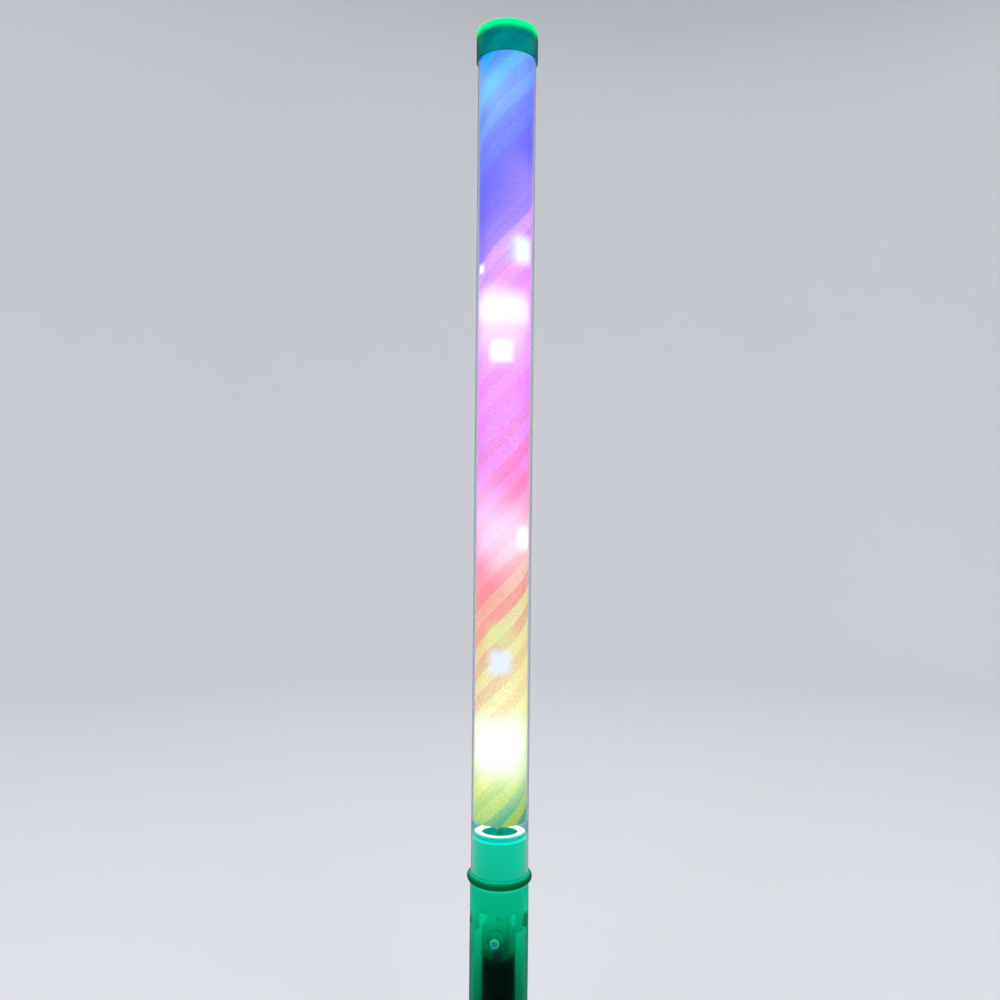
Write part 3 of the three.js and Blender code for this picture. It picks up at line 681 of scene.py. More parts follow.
@dataclass(frozen=True)
class GreenPlastic:
    """Translucent green moulding, with the lamps' light that it carries painted on as emission.

    Attributes:
        name: The material's name.
        tint: Screen colour of light that has come through it.
        glow: The light that it carries, upwards.
        rough: How much it blurs what is behind.
        see: Share of light that goes through.
        skin: The light that its outer faces show instead, upwards, or nothing where all show one light.
        inner: Radius in millimetres of the inner faces, inside which the first light shows.
        edge: Length in millimetres over which one light passes into another.
        dim: Radii in millimetres between which the painted light fades outwards, or none.
        painted_shade_tint: Screen colour of the painted shade that takes the tint's place where the light
            has faded.
        hollow_light: Radius in millimetres inside which it shows one painted light, and that light's screen
            colour, or none.
        ring: Radii in millimetres between which its upper end is lit white, or none.
        ring_height: Where the lit ring begins, in millimetres above the base.
        ring_edges: Share of the halo between which the ring's white begins.
        ring_light: The ring's light, linear and past white, so that it stays white behind the clear tube.
        halo: Width in millimetres of the halo on both sides of the ring.
        halo_tint: Screen colour of the halo.
        marks: How dark its flow marks are, as a share of its tint.
        rough_spread: How far its roughness strays.
        ior: How strongly it bends light.
        sheen: How much of the studio its surface mirrors, as a grey.
    """

    name: str
    tint: str
    glow: tuple[Light, ...]
    rough: float = 0.16
    see: float = 0.9
    skin: tuple[Light, ...] = ()
    inner: float = 0.0
    edge: float = 0.2
    dim: tuple[float, float] | None = None
    painted_shade_tint: str = "00602e"
    hollow_light: tuple[float, str] | None = None
    ring: tuple[float, float] | None = None
    ring_height: float = 0.0
    ring_edges: tuple[float, float] = (0.4, 0.9)
    ring_light: Colour = (2.3, 1.25, 1.25, 1.0)
    halo: float = 1.0
    halo_tint: str = "20ffe8"
    marks: float = 0.8
    rough_spread: float = 0.05
    ior: float = 1.45
    sheen: Colour = (0.25, 0.25, 0.25, 1.0)

    def carried(self, sheet: NodeSheet) -> bpy.types.NodeSocket:
        """Gives the light that the moulding's outward faces show: a colour along Z, changed by radius."""
        shown = sheet.along(self.glow)
        radius = sheet.radius()
        facing = sheet.math("SUBTRACT", 1.0, sheet.node("ShaderNodeNewGeometry").outputs["Backfacing"])
        if self.skin:
            inside = sheet.between(radius, (self.inner + 2 * self.edge, self.inner + self.edge))
            shown = sheet.mix(inside, sheet.along(self.skin), shown)
        if self.dim:
            start, end = self.dim
            shown = sheet.mix(sheet.between(radius, (end, start)), BLACK, shown)
        # Painted light: one colour of light fills the hollow inside the wall
        if self.hollow_light:
            wall, colour = self.hollow_light
            shown = sheet.mix(sheet.between(radius, (wall, wall - self.edge)), shown, paint(colour))
        if self.ring:
            shown = self.ringed(sheet, radius, shown)
        return sheet.mix(facing, BLACK, shown)

    def ringed(self, sheet: NodeSheet, radius: Socket, shown: Socket) -> bpy.types.NodeSocket:
        """Adds the white ring at the upper end: fades inwards, outwards and downwards give halo and ring.

        Args:
            sheet: The material's nodes.
            radius: Distance from the wand's axis.
            shown: The light below the ring.

        Returns:
            The light with its ring.
        """
        start, end = self.ring
        inwards = sheet.between(radius, (start - self.halo, start))
        outwards = sheet.between(radius, (end, end - self.halo))
        upwards = sheet.between(sheet.z, (self.ring_height - self.halo / 2, self.ring_height))
        lit = sheet.math("MULTIPLY", sheet.math("MULTIPLY", inwards, outwards), upwards)
        haloed = sheet.mix(lit, shown, paint(self.halo_tint))
        return sheet.mix(sheet.step(lit, *self.ring_edges), haloed, self.ring_light)

    def material(self) -> bpy.types.Material:
        """Builds the moulding: tinted see-through plastic with flow marks, and the light that it carries."""
        sheet = NodeSheet(self.name)
        flow = sheet.noise(scale=120.0, stretch=(1.0, 1.0, 0.4))
        tint = paint(self.tint)
        marked = (*(self.marks * part for part in tint[:3]), 1.0)
        shade = sheet.mix(flow, marked, tint)
        if self.dim:
            # Painted shade: the base colour darkens outwards where the light fades
            shade = sheet.mix(sheet.between(sheet.radius(), self.dim), shade, paint(self.painted_shade_tint))
        sheet.set(
            Base_Color=shade,
            Roughness=sheet.vary(flow, self.rough - self.rough_spread, self.rough + self.rough_spread),
            Transmission_Weight=self.see,
            IOR=self.ior,
            Specular_Tint=self.sheen,
            Emission_Color=self.carried(sheet),
            Emission_Strength=1.0,
        )
        sheet.bump(sheet.noise(scale=1600.0, detail=2.0), strength=0.15, distance=1e-5)
        return sheet.material


@dataclass(frozen=True)
class BoardLaminate:
    """The board's green laminate: its edges carry painted lamp light, and painted shade of the parts on it
    darkens its middle.

    Attributes:
        dark: Screen colour of the darker mask.
        light: Screen colour of the lighter mask.
        lights: The light that its middle scatters, upwards.
        margin: Half widths in millimetres between which the edges' light begins.
        edge: Screen colour of the edges' light.
        shade: Places across in millimetres between which the shade on its right side begins.
        depth: How much of the light that shade takes.
        foot: Heights in millimetres between which the painted shade at the foot above the holder begins,
            downwards.
        foot_half: Half widths in millimetres between which that painted shade begins, inwards.
        rough: Least and most roughness.
    """

    dark: str = "0f4a2c"
    light: str = "1a6a40"
    lights: tuple[Light, ...] = (
        Light(50.0, "008a58"),
        Light(53.0, "008a58"),
        Light(56.0, "00885c"),
        Light(61.0, "00946a"),
        Light(66.0, "005a40"),
    )
    margin: tuple[float, float] = (3.9, 5.0)
    edge: str = "009c6c"
    shade: tuple[float, float] = (0.8, 2.6)
    depth: float = 0.75
    foot: tuple[float, float] = (56.0, 54.6)
    foot_half: tuple[float, float] = (2.4, 1.2)
    rough: tuple[float, float] = (0.3, 0.45)

    def material(self) -> bpy.types.Material:
        """Builds the laminate: a mottled mask, and painted light along Z that painted shade across and at
        the foot takes away.
        """
        sheet = NodeSheet("board_laminate")
        mottle = sheet.noise(scale=300.0, detail=4.0)
        side = sheet.math("ABSOLUTE", sheet.x)
        edge = sheet.between(side, self.margin)
        shade = sheet.math("MULTIPLY", sheet.between(sheet.x, self.shade), self.depth)
        # Painted shade: a dark foot just above the holder
        foot = sheet.math("MULTIPLY", sheet.between(sheet.z, self.foot), sheet.between(side, self.foot_half))
        middle = sheet.mix(shade, sheet.along(self.lights), BLACK)
        sheet.set(
            Base_Color=sheet.mix(sheet.step(mottle, *PATCH_EDGES), paint(self.dark), paint(self.light)),
            Roughness=sheet.vary(mottle, *self.rough),
            Emission_Color=sheet.mix(foot, sheet.mix(edge, middle, paint(self.edge)), BLACK),
            Emission_Strength=1.0,
        )
        sheet.bump(sheet.noise(scale=1800.0, detail=2.0), strength=0.4, distance=2e-5)
        return sheet.material


@dataclass(frozen=True)
class LampLight:
    """A lamp's window: resin that shines by itself.

    Attributes:
        name: The material's name.
        warm: Screen colour of its warmer patches.
        colour: Screen colour of the rest.
        strength: How strongly it shines.
        rough: Least and most roughness.
    """

    name: str = "lamp_window_resin"
    warm: str = "fff3c4"
    colour: str = "fffbe8"
    strength: float = 2.5
    rough: tuple[float, float] = (0.12, 0.22)

    def material(self) -> bpy.types.Material:
        """Builds the window: pale resin, brighter in its mottled middle."""
        sheet = NodeSheet(self.name)
        mottle = sheet.noise(scale=2500.0, detail=2.0)
        shade = sheet.mix(mottle, paint(self.warm), paint(self.colour))
        sheet.set(
            Base_Color=shade,
            Roughness=sheet.vary(mottle, *self.rough),
            Emission_Color=shade,
            Emission_Strength=self.strength,
        )
        return sheet.material


@dataclass(frozen=True)
class StripPrint:
    """The lamp strip's white tape, with copper pads in pairs and a dark cutting line across each pair.

    Attributes:
        pad_pitch: Height in millimetres from one pair of pads to the next.
        first_pad: Height of the first pair, in millimetres above the base.
        pad_ends: Share of the pitch between which a pad begins.
        pad_in: Share of the half width between which a pad begins.
        pad_out: Share of the half width between which it ends, inwards.
        cut_ends: Share of the pitch between which the cutting line begins.
        cut_out: Share of the half width between which that line ends, inwards.
        tape: Screen colours of the tape's darker and lighter patches.
        copper: Screen colour of the pads.
        line: Screen colour of the cutting line.
        lit_end: Heights in millimetres between which the collar's painted light turns the tape green,
            downwards.
        lit_tint: Screen colour of the tape in the collar's light.
        lit: Screen colour of the light that it scatters there.
        rough: Roughness of the tape and of the pads.
    """

    pad_pitch: float = 19.4
    first_pad: float = 103.6
    pad_ends: tuple[float, float] = (0.085, 0.075)
    pad_in: tuple[float, float] = (0.28, 0.32)
    pad_out: tuple[float, float] = (0.8, 0.76)
    cut_ends: tuple[float, float] = (0.008, 0.005)
    cut_out: tuple[float, float] = (1.0, 0.98)
    tape: tuple[str, str] = ("dfe2dc", "f2f3ee")
    copper: str = "c98a52"
    line: str = "3a3a3a"
    lit_end: tuple[float, float] = (99.0, 96.5)
    lit_tint: str = "0a8a72"
    lit: str = "007058"
    rough: tuple[float, float] = (0.5, 0.3)

    def material(self) -> bpy.types.Material:
        """Builds the tape from its UV map: across in half widths, along in metres."""
        sheet = NodeSheet("lamp_strip_tape")
        uv = sheet.node("ShaderNodeUVMap")
        uv.uv_map = TAPE_MAP
        across, along, _ = sheet.node("ShaderNodeSeparateXYZ", Vector=uv.outputs["UV"]).outputs
        side = sheet.math("ABSOLUTE", across)
        near = sheet.off_whole(sheet.count(along, self.first_pad, self.pad_pitch))
        beside = sheet.math("MULTIPLY", sheet.step(side, *self.pad_in), sheet.step(side, *self.pad_out))
        pad = sheet.math("MULTIPLY", sheet.step(near, *self.pad_ends), beside)
        cut = sheet.math("MULTIPLY", sheet.step(near, *self.cut_ends), sheet.step(side, *self.cut_out))
        tape = sheet.mix(sheet.noise(scale=500.0), *(paint(shade) for shade in self.tape))
        # Painted light: the collar's glow greens the tape's lower end
        low = sheet.between(sheet.z, self.lit_end)
        collar_lit_tape = sheet.mix(low, tape, paint(self.lit_tint))
        coppered = sheet.mix(pad, collar_lit_tape, paint(self.copper))
        sheet.set(
            Base_Color=sheet.mix(cut, coppered, paint(self.line)),
            Metallic=pad,
            Roughness=sheet.vary(pad, *self.rough),
            Emission_Color=sheet.mix(low, BLACK, paint(self.lit)),
            Emission_Strength=1.0,
        )
        sheet.bump(pad, strength=0.5, distance=3e-5)
        return sheet.material


@dataclass(frozen=True)
class ButtonPlastic:
    """The button: a clear grey-green pin whose rim catches the light.

    Attributes:
        centre: Height of its middle, in millimetres above the base.
        rim: Radii in millimetres between which the rim begins.
        tip: Places along Y in millimetres between which the outer end begins.
        shaft: Screen colour inside the grip.
        end: Screen colours of the outer end's middle and rim, the rim's lighter colour a painted highlight.
        end_lit: Screen colours of the painted light that these two scatter.
        lights: The light that its flange scatters, upwards.
        rough: Least and most roughness.
        gloss: How strongly its surface reflects.
    """

    centre: float
    rim: tuple[float, float] = (1.2, 1.45)
    tip: tuple[float, float] = (-10.8, -11.5)
    shaft: str = "0a3c32"
    end: tuple[str, str] = ("14706a", "1f9a78")
    end_lit: tuple[str, str] = ("054d47", "126b52")
    lights: tuple[Light, ...] = (
        Light(53.7, "001a10"),
        Light(55.0, "003c28"),
        Light(57.0, "006a4c"),
        Light(58.8, "008860"),
        Light(60.1, "009066"),
    )
    rough: tuple[float, float] = (0.2, 0.35)
    gloss: float = 0.05

    def material(self) -> bpy.types.Material:
        """Builds the button: distance from its middle sets the rim's glow."""
        sheet = NodeSheet("button_plastic")
        up = sheet.math("SUBTRACT", sheet.z, self.centre * MM)
        ring = sheet.between(sheet.distance(sheet.x, up), self.rim)
        tip = sheet.between(sheet.y, self.tip)
        # Painted highlight: the rim is lighter where it catches the light
        end = sheet.mix(ring, *(paint(shade) for shade in self.end))
        end_lit = sheet.mix(ring, *(paint(shade) for shade in self.end_lit))
        sheet.set(
            Base_Color=sheet.mix(tip, paint(self.shaft), end),
            Roughness=sheet.vary(sheet.noise(scale=900.0), *self.rough),
            Emission_Color=sheet.mix(tip, sheet.along(self.lights), end_lit),
            Emission_Strength=1.0,
            Specular_IOR_Level=self.gloss,
        )
        sheet.bump(sheet.noise(scale=2500.0), strength=0.15, distance=1e-5)
        return sheet.material


def arc(centre: Sequence[float], radius: float, start: float, end: float, steps: int = 8) -> np.ndarray:
    """Gives points of a circle's arc: the centre plus the radius along each angle.

    Args:
        centre: The arc's centre in the profile's plane.
        radius: Its radius.
        start: Its first angle in degrees.
        end: Its last angle in degrees.
        steps: How many chords it has.

    Returns:
        An array of points, both ends included.
    """
    angles = np.radians(np.linspace(start, end, steps + 1))
    return np.column_stack([centre[0] + radius * np.cos(angles), centre[1] + radius * np.sin(angles)])


def rounded(corners: Sequence[Sequence[float]], steps: int = 5) -> np.ndarray:
    """Rounds the corners of a closed outline, each by an arc that touches both of its sides.

    Args:
        corners: First and second coordinate of each corner, and its radius.
        steps: Chords of each arc.

    Returns:
        The outline's points in the corners' order.
    """
    points = np.array([c[:2] for c in corners], float)
    radii = np.array([c[2] if len(c) > 2 else 0.0 for c in corners])
    before = np.roll(points, 1, 0) - points
    after = np.roll(points, -1, 0) - points
    before /= np.linalg.norm(before, axis=1, keepdims=True)
    after /= np.linalg.norm(after, axis=1, keepdims=True)
    pieces = []
    for point, into, out, radius in zip(points, before, after, radii):
        bend = math.acos(max(-1.0, min(1.0, float(into @ out))))
        if radius <= 0 or math.pi - bend < STRAIGHT:
            pieces.append(point[None])
            continue
        middle = (into + out) / np.linalg.norm(into + out)
        centre = point + middle * radius / math.sin(bend / 2)
        swing = (math.pi - bend) / 2
        side = np.array([-middle[1], middle[0]])
        if side @ into < 0:
            side = -side
        angles = np.linspace(swing, -swing, steps + 1)[:, None]
        pieces.append(centre - radius * (np.cos(angles) * middle - np.sin(angles) * side))
    return np.vstack(pieces)


def grid_faces(rows: int, columns: int, wrap_rows: bool, wrap_columns: bool) -> np.ndarray:
    """Gives the four corners of each cell of a grid of points, numbered row by row.

    Args:
        rows: Points along the first way.
        columns: Points along the second way.
        wrap_rows: Whether the last row joins the first.
        wrap_columns: Whether the last column joins the first.

    Returns:
        An array of quads.
    """
    first = np.arange(rows - (not wrap_rows))
    second = np.arange(columns - (not wrap_columns))
    i, j = np.meshgrid(first, second, indexing="ij")
    next_i, next_j = (i + 1) % rows, (j + 1) % columns
    corners = [i * columns + j, next_i * columns + j, next_i * columns + next_j, i * columns + next_j]
    return np.stack(corners, -1).reshape(-1, 4)


def turned(profile: np.ndarray, steps: int = 144) -> MeshData:
    """Turns a profile about Z: each point runs round a circle of its radius at its height.

    Args:
        profile: Radius and height of each point in millimetres, anticlockwise and closed on itself.
        steps: Points round the circle.

    Returns:
        The vertices in metres and the quads.
    """
    angles = np.linspace(0, TURN, steps, endpoint=False)[:, None]
    radius, height = profile[:, 0], profile[:, 1]
    level = np.broadcast_to(height, (steps, len(profile)))
    layers = [radius * np.sin(angles), -radius * np.cos(angles), level]
    vertices = np.stack(layers, -1).reshape(-1, 3) * MM
    return vertices, grid_faces(steps, len(profile), True, True)


def lofted(rings: np.ndarray) -> MeshData:
    """Joins rings of points, each with the same number, into a skin whose end rings are filled.

    Args:
        rings: Points in metres by ring, place round the ring and coordinate.

    Returns:
        The vertices, with a middle point for each end, and the faces as quads or doubled triangles.
    """
    count, around, _ = rings.shape
    ends = np.stack([rings[0].mean(0), rings[-1].mean(0)])
    vertices = np.vstack([rings.reshape(-1, 3), ends])
    sides = grid_faces(count, around, False, True)
    here = np.arange(around)
    there = (here + 1) % around
    first, last = count * around, count * around + 1
    low = np.column_stack([np.full(around, first), here, there, there])
    top = (count - 1) * around
    high = np.column_stack([np.full(around, last), top + there, top + here, top + here])
    return vertices, np.vstack([sides, low, high])


def swept(path: np.ndarray, radius: float, across: np.ndarray, sides: int = 16) -> MeshData:
    """Carries a circle along a path, in the plane square to the path at each point.

    Args:
        path: Points in millimetres.
        radius: The circle's radius in millimetres.
        across: A direction at each point that isn't along the path.
        sides: Points round the circle.

    Returns:
        The vertices in metres and the faces.
    """
    along = np.gradient(path, axis=0)
    along /= np.linalg.norm(along, axis=1, keepdims=True)
    out = across - along * np.sum(across * along, axis=1, keepdims=True)
    out /= np.linalg.norm(out, axis=1, keepdims=True)
    side = np.cross(along, out)
    angles = np.linspace(0, -TURN, sides, endpoint=False)[None, :, None]
    rings = path[:, None] + radius * (np.cos(angles) * out[:, None] + np.sin(angles) * side[:, None])
    return lofted(rings * MM)


def make(name: str, data: MeshData, sharp: float = SHARP) -> bpy.types.Object:
    """Puts vertices and faces into a new object, with its poles closed and its edges smoothed.

    Args:
        name: The piece's name.
        data: Vertices in metres and quads.
        sharp: The angle in degrees past which an edge stays sharp.

    Returns:
        The object, linked to the scene.
    """
    vertices, faces = data
    mesh = bpy.data.meshes.new(name)
    mesh.from_pydata(vertices.tolist(), [], [list(dict.fromkeys(face)) for face in faces.tolist()])
    editing = bmesh.new()
    editing.from_mesh(mesh)
    bmesh.ops.remove_doubles(editing, verts=editing.verts, dist=1e-7)
    bmesh.ops.dissolve_degenerate(editing, edges=editing.edges, dist=1e-8)
    bmesh.ops.recalc_face_normals(editing, faces=editing.faces)
    editing.to_mesh(mesh)
    editing.free()
    piece = bpy.data.objects.new(name, mesh)
    bpy.context.scene.collection.objects.link(piece)
    smooth(piece, sharp)
    return piece


def smooth(piece: bpy.types.Object, sharp: float) -> None:
    """Shades a piece smooth but for edges past an angle in degrees."""
    piece.data.shade_smooth()
    piece.data.set_sharp_from_angle(angle=math.radians(sharp))


def worked(
    piece: bpy.types.Object,
    joined: Sequence[bpy.types.Object],
    cut: Sequence[bpy.types.Object],
) -> None:
    """Joins pieces to another and then cuts pieces from it, and removes them.

    Args:
        piece: What is worked on.
        joined: What becomes part of it.
        cut: What is taken away from it.
    """
    for operation, tools in (("UNION", joined), ("DIFFERENCE", cut)):
        for tool in tools:
            modifier = piece.modifiers.new(tool.name, "BOOLEAN")
            modifier.operation = operation
            modifier.solver = "EXACT"
            modifier.object = tool
    evaluated = piece.evaluated_get(bpy.context.evaluated_depsgraph_get())
    mesh = bpy.data.meshes.new_from_object(evaluated)
    piece.modifiers.clear()
    piece.data = mesh
    for tool in (*joined, *cut):
        bpy.data.objects.remove(tool)
    smooth(piece, SHARP)


def radial_pin(
    name: str, profile: np.ndarray, height: float, angle: float = 0.0, steps: int = 48
) -> bpy.types.Object:
    """Turns a profile about a line that points out from the wand's axis.

    Args:
        name: The piece's name.
        profile: Radius and distance from the wand's axis, in millimetres, anticlockwise.
        height: The line's height above the base in millimetres.
        angle: Its angle from the button in degrees.
        steps: Points round the circle.

    Returns:
        The object.
    """
    vertices, faces = turned(profile, steps)
    x, y, out = vertices.T
    flat = np.column_stack([x, -out, y + height * MM])
    swing = np.array(Matrix.Rotation(math.radians(angle), 3, "Z"))
    return make(name, (flat @ swing.T, faces))


def block(name: str, low: Sequence[float], high: Sequence[float]) -> bpy.types.Object:
    """Makes a plain block between two corners in millimetres, for joining and cutting."""
    (x0, y0, z0), (x1, y1, z1) = low, high
    square = np.array([[x0, y0], [x1, y0], [x1, y1], [x0, y1]])
    rings = np.stack([np.column_stack([square, np.full(4, z)]) for z in (z0, z1)])
    return make(name, lofted(rings * MM))


class Assembly:
    """A part of the wand that builds its pieces, dresses them and hides the nodes that they stand for."""

    body: Body = Body.HANDLE

    def __init__(self) -> None:
        """Starts with no pieces."""
        self.pieces: list[bpy.types.Object] = []

    def add(
        self,
        piece: bpy.types.Object,
        material: bpy.types.Material,
        slot: Slot,
        nodes: Sequence[str] = (),
        body: Body | None = None,
    ) -> None:
        """Dresses a piece and puts it on its body.

        Args:
            piece: The piece.
            material: Its material.
            slot: The record's slot for its finish; not used.
            nodes: The nodes that it stands for.
            body: The body that it rides on, or the assembly's own.
        """
        piece.data.materials.clear()
        piece.data.materials.append(material)
        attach(piece, (body or self.body).value)
        if nodes:
            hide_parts(*nodes)
        self.pieces.append(piece)
        LOG.info("%s rides on %s, %d faces", piece.name, (body or self.body).value, len(piece.data.polygons))

    @staticmethod
    def dress_node(name: str, material: bpy.types.Material) -> None:
        """Gives a node that stays as it is a better material."""
        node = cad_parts[name]
        node.data.materials.clear()
        node.data.materials.append(material)
        LOG.info("%s keeps its shape", name)


def span(node: str) -> tuple[float, float, float]:
    """Gives a node's outer radius, bottom and top in millimetres, from the frame."""
    low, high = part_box(node)
    return (high[0] - low[0]) / 2 / MM, low[2] / MM, high[2] / MM


@dataclass
class TubeSizes:
    """Sizes of the clear tube and the film in it, in millimetres, with counts and a turn in radians."""

    wall: float = 0.8
    edge: float = 0.2
    film: float = 0.3
    slit: float = 0.5
    dip: float = 0.1
    dips: int = 2
    dip_turn: float = 0.6
    ripple: float = 0.05
    ripples: int = 5
    ripple_length: float = 61.0
    tube_steps: int = 192
    film_steps: int = 200
    film_rows: int = 72


class Tube(Assembly):
    """The clear tube and the rainbow film rolled up inside it."""

    body = Body.TUBE

    def __init__(self, sizes: TubeSizes) -> None:
        """Keeps the sizes."""
        super().__init__()
        self.sizes = sizes

    def build(self) -> None:
        """Builds and dresses both pieces."""
        self.clear_tube()
        self.film()

    def clear_tube(self) -> None:
        """Turns the tube's wall, with its cut edges rounded a little."""
        outer, bottom, top = span("clear_tube")
        sizes = self.sizes
        inner = outer - sizes.wall
        corners = ((inner, bottom), (outer, bottom), (outer, top), (inner, top))
        wall = rounded([(*corner, sizes.edge) for corner in corners])
        piece = make("clear_tube_wall", turned(wall, sizes.tube_steps))
        self.add(piece, ClearPlastic().material(), Slot.CLEAR, ["clear_tube"])

    def film(self) -> None:
        """Rolls the film: a rippled sheet bent round Z, whose lower edge dips a little as it goes round."""
        sizes = self.sizes
        outer, bottom, top = span("rainbow_film")
        inner = outer - sizes.film
        gap = sizes.slit / 2 / outer
        angles = np.linspace(-math.pi + gap, math.pi - gap, sizes.film_steps)
        section = np.concatenate([angles, angles[::-1]])
        radius = np.concatenate([np.full(sizes.film_steps, outer), np.full(sizes.film_steps, inner)])
        share = np.linspace(0, 1, sizes.film_rows)[:, None]
        foot = bottom + sizes.dip * (1 + np.sin(sizes.dips * section + sizes.dip_turn))
        height = foot + share * (top - foot)
        waves = np.sin(sizes.ripples * section) * np.sin(TURN * height / sizes.ripple_length)
        sheet = radius + sizes.ripple * (waves - 1)
        rings = np.stack([sheet * np.sin(section), -sheet * np.cos(section), height], -1)
        vertices = rings.reshape(-1, 3) * MM
        count = 2 * sizes.film_steps
        sides = grid_faces(sizes.film_rows, count, False, True)
        here = np.arange(sizes.film_steps - 1)
        edge = np.column_stack([here, here + 1, count - 2 - here, count - 1 - here])
        faces = np.vstack([sides, edge, edge + (sizes.film_rows - 1) * count])
        piece = make("rainbow_film_roll", (vertices, faces))
        self.add(piece, RainbowPrint().material(), Slot.FILM, ["rainbow_film"])


@dataclass
class CapSizes:
    """Sizes of the end cap in millimetres, and the steps round it."""

    wall: float = 0.5
    plate: float = 1.2
    round: float = 1.5
    corner: float = 0.6
    lip: float = 0.3
    steps: int = 192


class EndCap(Assembly):
    """The thin green cup on the tube's far end."""

    body = Body.CAP
    # Painted light: the sleeve dim and the flat end bright with the lamps' glow
    finish = GreenPlastic(
        "end_cap_green",
        "05a874",
        (
            Light(388.0, "00584e"),
            Light(393.4, "00584a"),
            Light(394.8, "00462c"),
            Light(396.0, "006430"),
            Light(397.1, "00b858"),
            Light(398.4, "00fa8c"),
            Light(400.0, "00fc98"),
        ),
        rough=0.08,
        see=1.0,
    )

    def __init__(self, sizes: CapSizes) -> None:
        """Keeps the sizes."""
        super().__init__()
        self.sizes = sizes

    def build(self) -> None:
        """Turns the cup: sleeve, rounded rim and flat end."""
        sizes = self.sizes
        outer, bottom, top = span("end_cap")
        inner = outer - sizes.wall
        cup = rounded(
            [
                (0.0, top - sizes.plate),
                (inner, top - sizes.plate, sizes.corner),
                (inner, bottom, FILLET_FINE),
                (outer, bottom, sizes.lip),
                (outer, top, sizes.round),
                (0.0, top),
            ],
            steps=8,
        )
        piece = make("end_cap_cup", turned(cup, sizes.steps))
        self.add(piece, self.finish.material(), Slot.GREEN, ["end_cap"])


@dataclass
class HandleSizes:
    """Sizes of the handle's green mouldings in millimetres, as in the solids that they stand for.

    Only the neck's rim is 0.6 mm wider than in its solid. Rounding and flare are this script's own.
    """

    grip_wall: float = 1.3
    grip_edge: float = 0.15
    seat_gap: float = 0.3
    bead_height: float = 3.0
    bead_flat: float = 0.02
    neck_wall: float = 1.3
    lip_height: float = 2.7
    lip_step: float = 0.45
    rim_width: float = 2.9
    rim_thickness: float = 1.2
    rim_round: float = 0.55
    skirt_length: float = 10.0
    skirt_wall: float = 1.2
    push_fit: float = 0.15
    neck_radius: float = 10.05
    neck_foot: float = 0.25
    window: float = 5.6
    window_drop: float = 13.5
    window_angle: float = 75.0
    pip_gap: float = 0.3
    pip_recess: float = 0.5
    pip_round: float = 0.5
    tongue_width: float = 8.6
    tongue_margin: float = 1.0
    tongue_root: float = 1.0
    bar: tuple[float, float] = (3.2, 4.0)
    slot: tuple[float, float] = (1.0, 6.6)
    button_hole: float = 4.0
    flare: float = 0.25
    base_plate: float = 2.0
    base_round: float = 1.2
    plug_wall: float = 1.2
    plug_round: float = 0.4
    boss: float = 10.0
    notch: tuple[float, float, float] = (7.0, 1.0, 0.9)
    steps: int = 160
    grip_steps: int = 192
    hole_steps: int = 64


